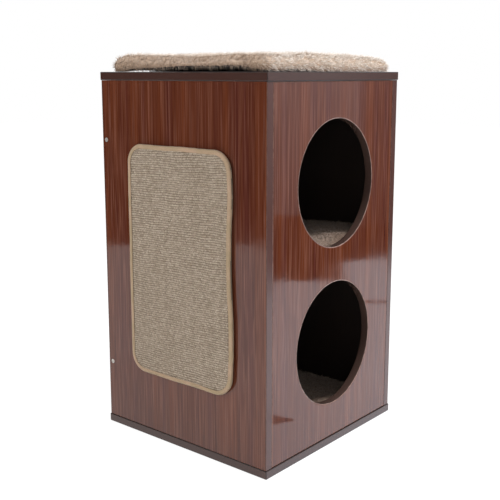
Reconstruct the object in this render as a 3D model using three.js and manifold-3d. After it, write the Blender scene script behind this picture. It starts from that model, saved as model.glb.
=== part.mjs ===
// A cat house with two dens, one above the other: six boards and a shelf joined by hidden
// fittings, a woven scratching pad on the left wall, and a plush cushion on the roof and in
// each den. Millimetres, +Z up. The origin is the centre of the base, where the house meets
// the floor. The round mouths face -Y, and the scratching pad faces -X.
import * as THREE from 'three';
import { mergeVertices } from 'three/addons/utils/BufferGeometryUtils.js';
import Module from 'manifold-3d';

// Overall sizes of the house, without its roof cushion
const houseWidth = 400;
const houseDepth = 400;
const houseHeight = 685;

// Boards
const boardThickness = 15;
const panelOverhang = 1.5; // top and bottom panels stand out past the walls
const backRecess = 2; // back panel sits in from the walls' rear edges
const bandThickness = 1; // plastic edge banding
const frontJointGap = 0.4; // open joint beside the front panel
const shelfHeightShare = 0.5;

// Round mouths in the front panel
const mouthDiameter = 230; // clear width inside the edge band
const mouthOffsetShare = 0.2252; // of the wall height, from the middle to each mouth's centre

// Scratching pad
const padWidth = 249;
const padHeight = 431;
const padCornerRadius = 28;
const matThickness = 4;
const bindingWidth = 8;
const bindingThickness = 0.8;

// Cushions
const roofCushionInset = 10; // from the top panel's edge to the cushion
const denCushionClearance = 3; // from the den's walls to the cushion
const cushionHeight = 41;
const cushionRimShare = 0.76; // of the height, where the sides turn into the top
const cushionEdgeRadius = 17; // how far the sides round in
const cushionDrawIn = 4; // how far each side pulls in between its corners
const cushionCornerPower = 9; // squareness of the plan
const cushionCrowdingShare = 0.6; // gathers the facets at the corners

// Clearances
const seatGap = 0.3; // between pieces that are glued, seated or sewn together
const boreGap = 0.4; // all round a fastener in its bore
const overrun = 1; // how far a cutting tool passes the face that it cuts

// Cam bolts and cam locks
const camRadius = 7.2;
const camFloor = 3; // board left under a cam's pocket
const camSetback = 24; // from the board's end to the cam's centre
const camSlotWidth = 1.6;
const camSlotDepth = 2;
const boltThreadRadius = 2.5;
const boltFloor = 4; // board left past the bolt's thread
const boltCollarRadius = 3.4;
const boltCollarLength = 1.6;
const boltNeckRadius = 1.6;
const boltHeadRadius = 3;
const boltHeadLength = 3;

// Screws that hold the back panel
const screwHeadRadius = 4.2;
const screwHeadHeight = 3;
const screwShankRadius = 1.8;
const screwLength = 40;
const screwTip = 5;
const screwSlotWidth = 1.2;
const screwSlotDepth = 1.6;
const screwEndDistance = 110; // from each end of the wall

// Pegs that carry the shelf
const pegRadius = 2.5;
const pegDepth = 8;
const pegLedgeReach = 9;
const pegLedgeWidth = 12;
const pegLedgeHeight = 6;

// Hook-and-loop strips
const hookThickness = 1.5;
const loopThickness = 1.2;
const stripWidth = 25;

// Places and lengths along the boards, cushion and pad, as shares of what carries them
const boltDepthShare = 0.34;
const frontBoltHeightShare = 0.39;
const pegDepthShare = 0.36;
const roofStripPlaceShare = 0.33;
const roofStripLengthShare = 0.7;
const padStripPlaceShare = 0.36;
const padStripLengthShare = 0.72;

// Facets
const mouthSteps = 36; // for half a turn
const roundSegments = 12; // for a whole turn
const cornerSteps = 4; // for half a corner
const cushionSegments = 44;
const cushionSideSteps = 6;
const cushionTopSteps = 7;

// Worked out from the sizes above
const halfWidth = houseWidth / 2;
const halfDepth = houseDepth / 2;
const wallHalfWidth = halfWidth - panelOverhang;
const wallHalfDepth = halfDepth - panelOverhang;
const wallHeight = houseHeight - 2 * (boardThickness + seatGap);
const wallMiddle = houseHeight / 2;
const innerHalfWidth = wallHalfWidth - boardThickness;
const innerFront = boardThickness - wallHalfDepth;
const innerBack = wallHalfDepth - backRecess - boardThickness;
const innerDepth = innerBack - innerFront;
const innerMiddleY = (innerBack + innerFront) / 2;
const shelfMiddle = houseHeight * shelfHeightShare;
const frontPanelY = boardThickness / 2 - wallHalfDepth;
const backPanelY = wallHalfDepth - backRecess - boardThickness / 2;
const sideMiddleX = wallHalfWidth - boardThickness / 2;
const mouthRadius = mouthDiameter / 2;
const mouthOffset = wallHeight * mouthOffsetShare;
const camPocketDepth = boardThickness - camFloor;
const boltReach = camSetback + boltHeadLength / 2;
const boltThreadLength = boardThickness - boltFloor;
const quarterTurn = Math.PI / 2;

const wasm = await Module();
wasm.setup();

// Finishes

const finishes = {
  laminate: { color: 0x6b3a28, roughness: 0.16, metalness: 0 },
  darkBoard: { color: 0x2b1e1a, roughness: 0.4, metalness: 0 },
  darkBand: { color: 0x46332e, roughness: 0.35, metalness: 0 },
  plush: { color: 0xb39d8a, roughness: 0.95, metalness: 0 },
  sisal: { color: 0x988879, roughness: 0.9, metalness: 0 },
  tape: { color: 0xa98e77, roughness: 0.85, metalness: 0 },
  hookAndLoop: { color: 0x1c1a19, roughness: 0.9, metalness: 0 },
  castZinc: { color: 0xa9a9ac, roughness: 0.45, metalness: 1 },
  zincSteel: { color: 0xc4c0ba, roughness: 0.3, metalness: 1 },
};

// A named piece of the house, in a finish of its own.
function piece(name, geometry, finish) {
  const material = new THREE.MeshStandardMaterial({ ...finishes[finish], flatShading: true });
  const mesh = new THREE.Mesh(geometry, material);
  mesh.name = name;
  return mesh;
}

// Directions in the house: how a thing that points along +Z is turned to point along each
const turns = {
  up: new THREE.Euler(0, 0, 0),
  down: new THREE.Euler(Math.PI, 0, 0),
  right: new THREE.Euler(0, quarterTurn, 0),
  left: new THREE.Euler(0, -quarterTurn, 0),
  back: new THREE.Euler(-quarterTurn, 0, 0),
};

// Turns a mesh to a direction and puts it at a place.
function set(mesh, direction, x, y, z) {
  mesh.rotation.copy(turns[direction]);
  mesh.position.set(x, y, z);
  return mesh;
}

// Turns and moves a cutting tool in the same way.
function aim(geometry, direction, x, y, z) {
  const turn = new THREE.Quaternion().setFromEuler(turns[direction]);
  return geometry.applyQuaternion(turn).translate(x, y, z);
}

const bothSides = [-1, 1];
const sideNames = { [-1]: 'left', 1: 'right' };
const endNames = { [-1]: 'bottom', 1: 'top' };
const heightNames = { [-1]: 'lower', 1: 'upper' };
const depthNames = { [-1]: 'front', 1: 'rear' };

function inward(side) {
  return side < 0 ? 'right' : 'left';
}

function outward(side) {
  return side < 0 ? 'left' : 'right';
}

function intoWall(end) {
  return end < 0 ? 'up' : 'down';
}

// Calls a function with each of the four pairs of signs and lists the results.
function eachPair(make) {
  return bothSides.flatMap((a) => bothSides.flatMap((b) => make(a, b)));
}

// Places that two pieces share, for each sign
const boltY = (s) => innerMiddleY + s * innerDepth * boltDepthShare;
const frontBoltZ = (s) => wallMiddle + s * wallHeight * frontBoltHeightShare;
const screwZ = (s) => wallMiddle + s * (wallHeight / 2 - screwEndDistance);
const pegY = (s) => innerMiddleY + s * innerDepth * pegDepthShare;
const pegZ = shelfMiddle - boardThickness / 2 - seatGap - pegLedgeHeight / 2;

// Solid helpers

// Turns a closed geometry into a solid that can be cut.
function toSolid(geometry) {
  const bare = geometry.clone();
  bare.deleteAttribute('normal');
  bare.deleteAttribute('uv');
  const merged = mergeVertices(bare);
  return new wasm.Manifold(new wasm.Mesh({
    numProp: 3,
    vertProperties: new Float32Array(merged.attributes.position.array),
    triVerts: new Uint32Array(merged.index.array),
  }));
}

// Turns a solid back into a geometry.
function toGeometry(solid) {
  const mesh = solid.getMesh();
  const geometry = new THREE.BufferGeometry();
  const position = new THREE.BufferAttribute(new Float32Array(mesh.vertProperties), 3);
  geometry.setAttribute('position', position);
  geometry.setIndex(new THREE.BufferAttribute(new Uint32Array(mesh.triVerts), 1));
  geometry.computeVertexNormals();
  return geometry;
}

// Cuts every tool out of a body.
function cut(body, tools) {
  return toGeometry(tools.reduce((rest, tool) => rest.subtract(toSolid(tool)), toSolid(body)));
}

// Joins two overlapping bodies.
function join(first, second) {
  return toGeometry(toSolid(first).add(toSolid(second)));
}

function box(width, depth, height) {
  return new THREE.BoxGeometry(width, depth, height);
}

// A round rod along Z between two heights.
function rod(radius, low, high) {
  const length = high - low;
  const geometry = new THREE.CylinderGeometry(radius, radius, length, roundSegments);
  return geometry.rotateX(quarterTurn).translate(0, 0, (low + high) / 2);
}

// A turned body round the Z axis, from a profile of [radius, height] points.
function turned(profile, segments = roundSegments) {
  const points = profile.map(([radius, height]) => new THREE.Vector2(radius, height));
  return new THREE.LatheGeometry(points, segments).rotateX(quarterTurn);
}

// A cross-shaped screwdriver recess in a face at z = 0.
function crossRecess(length, width, depth) {
  const height = depth + overrun;
  const z = (overrun - depth) / 2;
  return [
    box(length, width, height).translate(0, 0, z),
    box(width, length, height).translate(0, 0, z),
  ];
}

// Fasteners and the bores that they go in, each along Z from a board's face at z = 0

// The thread goes down into one board, and the head goes up into the other.
function camBolt() {
  const headStart = boltReach - boltHeadLength;
  return turned([
    [0, -boltThreadLength],
    [boltThreadRadius, -boltThreadLength],
    [boltThreadRadius, 0],
    [boltCollarRadius, 0],
    [boltCollarRadius, boltCollarLength],
    [boltNeckRadius, boltCollarLength],
    [boltNeckRadius, headStart],
    [boltHeadRadius, headStart],
    [boltHeadRadius, boltReach],
    [0, boltReach],
  ]);
}

function threadBore() {
  return rod(boltThreadRadius + boreGap, -boltThreadLength - boreGap, overrun);
}

// The bore that the bolt's head passes through to reach its lock.
function camBore() {
  return rod(boltCollarRadius + boreGap, -overrun, camSetback);
}

// The lock's face is at z = 0. The bolt comes in from -X at half the board's thickness.
function camLock() {
  const disc = rod(camRadius, seatGap - camPocketDepth, 0);
  const bore = aim(rod(boltHeadRadius + boreGap, -camRadius - overrun, boltHeadLength), 'right',
    0, 0, -boardThickness / 2);
  return cut(disc, [bore, ...crossRecess(camRadius + boltHeadRadius, camSlotWidth, camSlotDepth)]);
}

function camPocket() {
  return rod(camRadius + seatGap, -camPocketDepth, overrun);
}

// A countersunk screw whose head's face is at z = 0 and whose tip points down.
function screw() {
  const body = turned([
    [0, -screwLength],
    [screwShankRadius, screwTip - screwLength],
    [screwShankRadius, -screwHeadHeight],
    [screwHeadRadius, 0],
    [0, 0],
  ]);
  return cut(body, crossRecess(screwHeadRadius, screwSlotWidth, screwSlotDepth));
}

function screwBore() {
  const depth = screwLength + boreGap;
  const shank = screwShankRadius + boreGap;
  const head = screwHeadRadius + boreGap;
  return turned([
    [0, -depth],
    [shank, -depth],
    [shank, -screwHeadHeight],
    [head, 0],
    [head, overrun],
    [0, overrun],
  ]);
}

// A peg in a wall, with a ledge past z = 0 that the shelf rests on.
function shelfPeg() {
  const ledge = box(pegLedgeHeight, pegLedgeWidth, pegLedgeReach);
  return join(rod(pegRadius, -pegDepth, overrun), ledge.translate(0, 0, seatGap + pegLedgeReach / 2));
}

function pegBore() {
  return rod(pegRadius + boreGap, -pegDepth - boreGap, overrun);
}

// Boards, each in a frame of its own at its middle

// The roof and the floor, cut for the bolts that reach into the walls' ends.
function slab(end) {
  const inset = 2 * (bandThickness + seatGap);
  const body = box(houseWidth - inset, houseDepth - inset, boardThickness);
  const bores = eachPair((side, deep) => (
    aim(threadBore(), intoWall(end), side * sideMiddleX, boltY(deep), -end * boardThickness / 2)));
  return cut(body, bores);
}

// A rectangle in the XY plane, with its corners in order round it.
function rectangle(Kind, halfX, halfY) {
  const outline = new Kind();
  outline.moveTo(-halfX, -halfY);
  outline.lineTo(halfX, -halfY);
  outline.lineTo(halfX, halfY);
  outline.lineTo(-halfX, halfY);
  return outline;
}

function circle(Kind, radius, x, y) {
  return new Kind().absarc(x, y, radius, 0, 2 * Math.PI, false);
}

// A plate with its middle at z = 0.
function plate(shape, thickness, curveSegments) {
  const options = { depth: thickness, bevelEnabled: false, curveSegments };
  return new THREE.ExtrudeGeometry(shape, options).translate(0, 0, -thickness / 2);
}

// The banding round a slab's four edges.
function slabBand() {
  const outline = rectangle(THREE.Shape, halfWidth, halfDepth);
  outline.holes.push(rectangle(THREE.Path, halfWidth - bandThickness, halfDepth - bandThickness));
  return plate(outline, boardThickness, 1);
}

function sideWall(side) {
  const body = box(boardThickness, 2 * (wallHalfDepth - bandThickness - seatGap), wallHeight);
  const innerX = -side * boardThickness / 2;
  const tools = eachPair((end, deep) => [
    aim(camBore(), intoWall(end), 0, boltY(deep), end * wallHeight / 2),
    aim(camPocket(), inward(side), innerX, boltY(deep), end * (wallHeight / 2 - camSetback)),
  ]);
  bothSides.forEach((s) => tools.push(
    aim(threadBore(), inward(side), innerX, frontPanelY, frontBoltZ(s) - wallMiddle),
    aim(pegBore(), inward(side), innerX, pegY(s), pegZ - wallMiddle),
    aim(screwBore(), outward(side), side * boardThickness / 2, backPanelY, screwZ(s) - wallMiddle),
  ));
  return cut(body, tools);
}

// The wall with the two mouths. Its outline lies in the XY plane and is then stood up.
function frontWall() {
  const halfSpan = innerHalfWidth - frontJointGap;
  const outline = rectangle(THREE.Shape, halfSpan, wallHeight / 2);
  const mouthCut = mouthRadius + bandThickness + seatGap;
  bothSides.forEach((s) => outline.holes.push(circle(THREE.Path, mouthCut, 0, s * mouthOffset)));
  const body = plate(outline, boardThickness, mouthSteps).rotateX(quarterTurn);
  const camX = innerHalfWidth - camSetback;
  const tools = eachPair((side, s) => [
    aim(camBore(), inward(side), side * innerHalfWidth, 0, frontBoltZ(s) - wallMiddle),
    aim(camPocket(), 'back', side * camX, boardThickness / 2, frontBoltZ(s) - wallMiddle),
  ]);
  return cut(body, tools);
}

// The banding bent round the inside of a mouth.
function mouthBand() {
  const ring = circle(THREE.Shape, mouthRadius + bandThickness, 0, 0);
  ring.holes.push(circle(THREE.Path, mouthRadius, 0, 0));
  return plate(ring, boardThickness, mouthSteps).rotateX(quarterTurn);
}

function backWall() {
  const body = box(2 * (innerHalfWidth - seatGap), boardThickness, wallHeight);
  const bores = eachPair((side, s) => (
    aim(screwBore(), outward(side), side * wallHalfWidth, 0, screwZ(s) - wallMiddle)));
  return cut(body, bores);
}

function shelf() {
  return box(2 * (innerHalfWidth - seatGap), innerDepth - 2 * seatGap, boardThickness);
}

// Cushions

// How far a cushion's outline reaches at an angle: a square with round corners, whose sides
// pull in between them.
function squareReach(angle, half) {
  const along = Math.abs(Math.cos(angle)) ** cushionCornerPower;
  const across = Math.abs(Math.sin(angle)) ** cushionCornerPower;
  const round = half / (along + across) ** (1 / cushionCornerPower);
  return round - cushionDrawIn * Math.cos(2 * angle) ** 2;
}

// A stuffed pad that rests on z = 0, with rounded sides and a crowned top.
function cushion(width, depth) {
  const half = width / 2;
  const rim = cushionHeight * cushionRimShare;
  const flat = half - cushionEdgeRadius;
  const sides = Array.from({ length: cushionSideSteps + 1 }, (_, i) => {
    const angle = Math.PI * (i / cushionSideSteps - 1 / 2);
    return [flat + cushionEdgeRadius * Math.cos(angle), rim / 2 * (1 + Math.sin(angle))];
  });
  const crown = Array.from({ length: cushionTopSteps - 1 }, (_, i) => {
    const angle = quarterTurn * (i + 1) / cushionTopSteps;
    return [flat * Math.cos(angle), rim + (cushionHeight - rim) * Math.sin(angle)];
  });
  const profile = [[0, 0], [flat / 2, 0], ...sides, ...crown, [0, cushionHeight]];
  const geometry = turned(profile, cushionSegments);
  const position = geometry.attributes.position;
  for (let i = 0; i < position.count; i += 1) {
    const x = position.getX(i);
    const y = position.getY(i);
    const turn = Math.atan2(y, x);
    const angle = turn + cushionCrowdingShare * Math.sin(4 * turn) / 4;
    const reach = Math.hypot(x, y) * squareReach(angle, half) / half;
    position.setXY(i, reach * Math.cos(angle), reach * Math.sin(angle) * depth / width);
  }
  return geometry;
}

// Scratching pad, lying down with its face up and its width along X

// A rectangle with round corners.
function roundedPlate(width, height, radius, thickness) {
  const x = width / 2;
  const y = height / 2;
  const outline = new THREE.Shape();
  outline.absarc(x - radius, radius - y, radius, -quarterTurn, 0, false);
  outline.absarc(x - radius, y - radius, radius, 0, quarterTurn, false);
  outline.absarc(radius - x, y - radius, radius, quarterTurn, Math.PI, false);
  outline.absarc(radius - x, radius - y, radius, Math.PI, 3 * quarterTurn, false);
  return plate(outline, thickness, cornerSteps);
}

// The pad's outline drawn in by a distance all round.
function padPlate(inset, thickness) {
  return roundedPlate(padWidth - 2 * inset, padHeight - 2 * inset, padCornerRadius - inset, thickness);
}

const padThickness = matThickness + 2 * (bindingThickness + seatGap);

// Cloth tape folded round the mat's edge, with a groove that the mat sits in.
function scratchBinding() {
  return cut(padPlate(0, padThickness), [
    padPlate(bindingWidth, padThickness + 2 * overrun),
    padPlate(bindingThickness, matThickness + 2 * seatGap),
  ]);
}

// Assembly: boards and their banding

const house = new THREE.Group();

bothSides.forEach((end) => {
  const board = new THREE.Group();
  board.position.z = end < 0 ? boardThickness / 2 : houseHeight - boardThickness / 2;
  board.add(
    piece(`${endNames[end]}_panel`, slab(end), 'darkBoard'),
    piece(`${endNames[end]}_panel_edge_band`, slabBand(), 'darkBand'),
  );
  house.add(board);
});

bothSides.forEach((side) => {
  const wall = new THREE.Group();
  wall.position.set(side * sideMiddleX, 0, wallMiddle);
  wall.add(piece(`${sideNames[side]}_side_panel`, sideWall(side), 'laminate'));
  bothSides.forEach((deep) => {
    const band = box(boardThickness, bandThickness, wallHeight);
    const strip = piece(`${sideNames[side]}_side_${depthNames[deep]}_edge_band`, band, 'darkBand');
    strip.position.y = deep * (wallHalfDepth - bandThickness / 2);
    wall.add(strip);
  });
  house.add(wall);
});

const front = new THREE.Group();
front.position.set(0, frontPanelY, wallMiddle);
front.add(piece('front_panel', frontWall(), 'laminate'));
bothSides.forEach((s) => {
  const band = piece(`${heightNames[s]}_mouth_edge_band`, mouthBand(), 'darkBand');
  band.position.z = s * mouthOffset;
  front.add(band);
});

const back = piece('back_panel', backWall(), 'laminate');
back.position.set(0, backPanelY, wallMiddle);
const middleShelf = piece('middle_shelf', shelf(), 'darkBoard');
middleShelf.position.set(0, innerMiddleY, shelfMiddle);
house.add(front, back, middleShelf);

// Assembly: fasteners

// Puts a cam lock in its pocket. Half a turn points it at a bolt from the other way.
function addCamLock(name, halfTurn, direction, x, y, z) {
  const lock = camLock().rotateZ(halfTurn ? Math.PI : 0);
  house.add(set(piece(`${name}_cam_lock`, lock, 'castZinc'), direction, x, y, z));
}

eachPair((end, side) => bothSides.forEach((deep) => {
  const name = `${endNames[end]}_${sideNames[side]}_${depthNames[deep]}`;
  const bolt = piece(`${name}_cam_bolt`, camBolt(), 'zincSteel');
  const endZ = wallMiddle + end * wallHeight / 2;
  house.add(set(bolt, intoWall(end), side * sideMiddleX, boltY(deep), endZ));
  addCamLock(name, side * end > 0, inward(side),
    side * innerHalfWidth, boltY(deep), endZ - end * camSetback);
}));

eachPair((side, s) => {
  const name = `front_panel_${heightNames[s]}_${sideNames[side]}`;
  const bolt = piece(`${name}_cam_bolt`, camBolt(), 'zincSteel');
  house.add(set(bolt, inward(side), side * innerHalfWidth, frontPanelY, frontBoltZ(s)));
  addCamLock(name, side > 0, 'back', side * (innerHalfWidth - camSetback), innerFront, frontBoltZ(s));
});

eachPair((side, s) => {
  const fixing = piece(`back_panel_${heightNames[s]}_${sideNames[side]}_screw`, screw(), 'zincSteel');
  house.add(set(fixing, outward(side), side * wallHalfWidth, backPanelY, screwZ(s)));
  const peg = piece(`shelf_${depthNames[s]}_${sideNames[side]}_peg`, shelfPeg(), 'zincSteel');
  house.add(set(peg, inward(side), side * innerHalfWidth, pegY(s), pegZ));
});

// Assembly: the roof cushion on its hook-and-loop strips, and a cushion in each den

const roofWidth = houseWidth - 2 * roofCushionInset;
const roofDepth = houseDepth - 2 * roofCushionInset;
const hookZ = seatGap + hookThickness / 2;
const loopZ = hookZ + (hookThickness + loopThickness) / 2 + seatGap;
const heldZ = loopZ + loopThickness / 2 + seatGap;

const roof = new THREE.Group();
roof.position.z = houseHeight;
const roofCushion = piece('top_cushion', cushion(roofWidth, roofDepth), 'plush');
roofCushion.position.z = heldZ;
roof.add(roofCushion);
bothSides.forEach((side) => {
  const length = roofDepth * roofStripLengthShare;
  const hook = box(stripWidth, length, hookThickness);
  const loop = box(stripWidth, length, loopThickness);
  const x = side * roofWidth * roofStripPlaceShare;
  const name = `${sideNames[side]}_cushion`;
  roof.add(
    set(piece(`${name}_hook_strip`, hook, 'hookAndLoop'), 'up', x, 0, hookZ),
    set(piece(`${name}_loop_strip`, loop, 'hookAndLoop'), 'up', x, 0, loopZ),
  );
});
house.add(roof);

const denWidth = 2 * (innerHalfWidth - denCushionClearance);
const denDepth = innerDepth - 2 * denCushionClearance;
const denFloors = { lower: boardThickness, upper: shelfMiddle + boardThickness / 2 };
Object.entries(denFloors).forEach(([name, floorZ]) => {
  const pad = piece(`${name}_den_cushion`, cushion(denWidth, denDepth), 'plush');
  pad.position.set(0, innerMiddleY, floorZ + seatGap);
  house.add(pad);
});

// Assembly: the scratching pad, stood up on the left wall with its face along -X

const scratchPad = new THREE.Group();
scratchPad.position.set(-wallHalfWidth, 0, wallMiddle);
scratchPad.rotation.set(quarterTurn, 0, -quarterTurn, 'ZYX');
const matInset = bindingThickness + seatGap;
const padZ = heldZ + matThickness / 2; // the strips lie on the mat, inside its binding
scratchPad.add(
  set(piece('scratch_mat', padPlate(matInset, matThickness), 'sisal'), 'up', 0, 0, padZ),
  set(piece('scratch_mat_binding', scratchBinding(), 'tape'), 'up', 0, 0, padZ),
);
bothSides.forEach((s) => {
  const length = padWidth * padStripLengthShare;
  const hook = box(length, stripWidth, hookThickness);
  const loop = box(length, stripWidth, loopThickness);
  const y = s * padHeight * padStripPlaceShare;
  const name = `${heightNames[s]}_pad`;
  scratchPad.add(
    set(piece(`${name}_hook_strip`, hook, 'hookAndLoop'), 'up', 0, y, hookZ),
    set(piece(`${name}_loop_strip`, loop, 'hookAndLoop'), 'up', 0, y, loopZ),
  );
});
house.add(scratchPad);

export default house;
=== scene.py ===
"""Looks of the two-den cat house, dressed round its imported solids.

Every length is in metres, in the solids' own frame: the origin is under the middle of the base, the
mouths face -Y and the scratching pad hangs on the -X wall.
"""

import logging
import math
from dataclasses import dataclass, field
from enum import Enum
from typing import Any, Sequence

import bmesh
import bpy
from mathutils import Matrix, Vector, noise


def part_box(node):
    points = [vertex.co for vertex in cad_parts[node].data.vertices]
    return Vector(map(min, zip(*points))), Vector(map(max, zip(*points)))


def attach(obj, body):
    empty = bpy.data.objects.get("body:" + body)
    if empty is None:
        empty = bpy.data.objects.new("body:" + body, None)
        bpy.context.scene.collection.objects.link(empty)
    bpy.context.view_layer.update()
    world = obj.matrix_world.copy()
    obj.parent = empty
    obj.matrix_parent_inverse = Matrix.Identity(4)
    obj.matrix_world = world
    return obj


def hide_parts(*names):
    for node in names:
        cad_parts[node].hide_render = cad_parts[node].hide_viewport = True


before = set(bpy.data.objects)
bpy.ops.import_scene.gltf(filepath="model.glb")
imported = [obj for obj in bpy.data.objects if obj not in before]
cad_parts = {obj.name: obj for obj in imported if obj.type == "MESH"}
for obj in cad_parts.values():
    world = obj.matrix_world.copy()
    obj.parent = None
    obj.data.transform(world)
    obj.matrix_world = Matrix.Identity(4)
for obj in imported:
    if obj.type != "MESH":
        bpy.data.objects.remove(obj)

LOG = logging.getLogger("cat_house")
MERGE = 1e-6
FLAT_ANGLE = math.radians(0.5)
SHARP_ANGLE = math.radians(35)
ON_PLANE = 1e-5
RUB = "rub"
TIP = "tip"
TONE = "tone"
GEOMETRY = "NodeSocketGeometry"
MATERIAL = "NodeSocketMaterial"

Colour = tuple[float, float, float, float]
Point = tuple[float, float, float]
Ends = tuple[float, float]
Socket = bpy.types.NodeSocket
Node = bpy.types.Node
Tree = bpy.types.NodeTree
Material = bpy.types.Material
Mesh = bpy.types.Mesh
Piece = bpy.types.Object
Shape = bmesh.types.BMesh
Edge = bmesh.types.BMEdge


def paint(red: int, green: int, blue: int) -> Colour:
    """Turns a paint-chart colour into the linear one that a shader takes.

    Args:
        red: level of red, 0 to 255.
        green: level of green, 0 to 255.
        blue: level of blue, 0 to 255.

    Returns:
        The linear colour, opaque.
    """
    shares = [level / 255 for level in (red, green, blue)]
    low_end, slope, lift, power = 0.04045, 12.92, 0.055, 2.4
    linear = [s / slope if s <= low_end else ((s + lift) / (1 + lift)) ** power for s in shares]
    return (linear[0], linear[1], linear[2], 1.0)


def show(thing: Piece) -> None:
    """Links a new object to the scene."""
    bpy.context.scene.collection.objects.link(thing)


class Graph:
    """A node tree while it is being built, for a material, a shader effect or a shape."""

    def __init__(self, tree: Tree) -> None:
        """Keeps the tree that nodes are added to."""
        self.tree = tree

    def add(self, kind: str, feeds: dict[Any, Any] | None = None, **settings: Any) -> Node:
        """Adds a node, sets it and feeds its inputs.

        Args:
            kind: the node's type name.
            feeds: for each input, by name or number, the socket that feeds it or its value.
            **settings: the node's own properties.

        Returns:
            The new node.
        """
        node = self.tree.nodes.new(kind)
        for name, value in settings.items():
            setattr(node, name, value)
        for key, value in (feeds or {}).items():
            if isinstance(value, Socket):
                self.tree.links.new(value, node.inputs[key])
            else:
                node.inputs[key].default_value = value
        return node

    def one(self, kind: str, feeds: dict[Any, Any] | None = None, **settings: Any) -> Socket:
        """Adds a node in the same way and gives its first output."""
        return self.add(kind, feeds, **settings).outputs[0]

    def math(
        self, operation: str, first: Any, second: Any = 0.0, third: Any = 0.0
    ) -> Socket:
        """Joins numbers by one operation.

        Args:
            operation: what the Math node does.
            first: socket or number.
            second: socket or number.
            third: socket or number, where the operation has three.

        Returns:
            The socket with the answer.
        """
        feeds = {0: first, 1: second, 2: third}
        return self.one("ShaderNodeMath", feeds, operation=operation)

    def times(self, first: Any, second: Any) -> Socket:
        """Multiplies two numbers or sockets."""
        return self.math("MULTIPLY", first, second)

    def vector(self, operation: str, first: Any, second: Any = (0, 0, 0)) -> Socket:
        """Joins two vectors by one operation.

        Args:
            operation: what the Vector Math node does.
            first: socket or vector.
            second: socket or vector.

        Returns:
            The socket with the resulting vector.
        """
        feeds = {0: first, 1: second}
        return self.one("ShaderNodeVectorMath", feeds, operation=operation)

    def scale(self, vector: Any, factor: Any) -> Socket:
        """Lengthens a vector by a factor, which may be a socket."""
        feeds = {0: vector, "Scale": factor}
        return self.one("ShaderNodeVectorMath", feeds, operation="SCALE")

    def mix(self, share: Any, first: Any, second: Any, blend: str = "MIX") -> Socket:
        """Mixes two colours.

        Args:
            share: how much of the second, a socket or a number.
            first: colour or socket.
            second: colour or socket.
            blend: way of mixing.

        Returns:
            The socket with the mixed colour.
        """
        feeds = {0: share, 6: first, 7: second}
        return self.add("ShaderNodeMix", feeds, data_type="RGBA", blend_type=blend).outputs[2]

    def span(self, value: Any, low: float, high: float, new_low: Any, new_high: Any) -> Socket:
        """Stretches a value from one range to another, clamped.

        Args:
            value: socket with the value.
            low: where the old range starts.
            high: where the old range ends.
            new_low: what the start becomes.
            new_high: what the end becomes.

        Returns:
            The socket with the stretched value.
        """
        feeds = {0: value, 1: low, 2: high, 3: new_low, 4: new_high}
        return self.one("ShaderNodeMapRange", feeds)

    def noise(self, place: Any, scale: Any, detail: float = 2.0, output: int = 0) -> Socket:
        """Adds smooth noise.

        Args:
            place: socket with the place it is read at.
            scale: how many waves there are in a metre.
            detail: how many finer layers it has.
            output: 0 for a value, 1 for a colour.

        Returns:
            The noise's socket.
        """
        feeds = {"Vector": place, "Scale": scale, "Detail": detail}
        return self.add("ShaderNodeTexNoise", feeds).outputs[output]

    def ramp(self, value: Any, stops: Sequence[tuple[float, Colour]]) -> Socket:
        """Turns a value into a colour by a row of stops.

        Args:
            value: socket with the value.
            stops: where each colour stands, from 0 to 1.

        Returns:
            The socket with the colour.
        """
        node = self.add("ShaderNodeValToRGB", {"Fac": value})
        places = node.color_ramp.elements
        while len(places) < len(stops):
            places.new(1.0)
        for place, (where, colour) in zip(places, stops):
            place.position = where
            place.color = colour
        return node.outputs["Color"]

    def chance(self, low: float, high: float, seed: Any, key: Any = None) -> Socket:
        """Draws a number for each element of a shape.

        Args:
            low: the least it may be.
            high: the most it may be.
            seed: for the draw, a number or a socket.
            key: socket that elements with the same number share, if any.

        Returns:
            The socket with the number.
        """
        feeds = {2: low, 3: high, "Seed": seed}
        if key is not None:
            feeds["ID"] = key
        return self.add("FunctionNodeRandomValue", feeds, data_type="FLOAT").outputs[1]

    def mark(self, shape: Any, name: str, value: Any, domain: str) -> Socket:
        """Stores a number on a shape for its material to read.

        Args:
            shape: socket with the shape.
            name: what the number is called.
            value: socket with the number.
            domain: what it is stored on.

        Returns:
            The socket with the marked shape.
        """
        feeds = {"Geometry": shape, "Name": name, "Value": value}
        return self.one("GeometryNodeStoreNamedAttribute", feeds, domain=domain)

    def place(self, effect: Tree, feeds: dict[str, Any]) -> Node:
        """Adds a shared effect with a value or socket for each of its inputs."""
        return self.add("ShaderNodeGroup", feeds, node_tree=effect)

    def point(self, x: Any = 0.0, y: Any = 0.0, z: Any = 0.0) -> Socket:
        """Joins three numbers or sockets into a vector."""
        return self.one("ShaderNodeCombineXYZ", {0: x, 1: y, 2: z})

    def read(self, name: str) -> Socket:
        """Reads a number that was stored on the piece."""
        return self.add("ShaderNodeAttribute", attribute_name=name).outputs["Fac"]

    def scatter(self, low: Point, high: Point, seed: Any) -> Socket:
        """Draws a vector between two corners for each element of a shape."""
        feeds = {0: low, 1: high, "Seed": seed}
        return self.one("FunctionNodeRandomValue", feeds, data_type="FLOAT_VECTOR")

    def turned(self, shape: Any, **moves: Any) -> Socket:
        """Moves a shape by its Translation, Rotation or Scale."""
        return self.one("GeometryNodeTransform", {"Geometry": shape, **moves})

    def bead(self, rings: int, halves: Any) -> Socket:
        """Makes a coarse long bead along X.

        Args:
            rings: rings between its poles.
            halves: socket with half its length, width and height.

        Returns:
            The socket with the bead.
        """
        feeds = {"Segments": 6, "Rings": rings, "Radius": 1.0}
        ball = self.add("GeometryNodeMeshUVSphere", feeds).outputs["Mesh"]
        return self.turned(self.turned(ball, Rotation=(0, math.pi / 2, 0)), Scale=halves)


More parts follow.
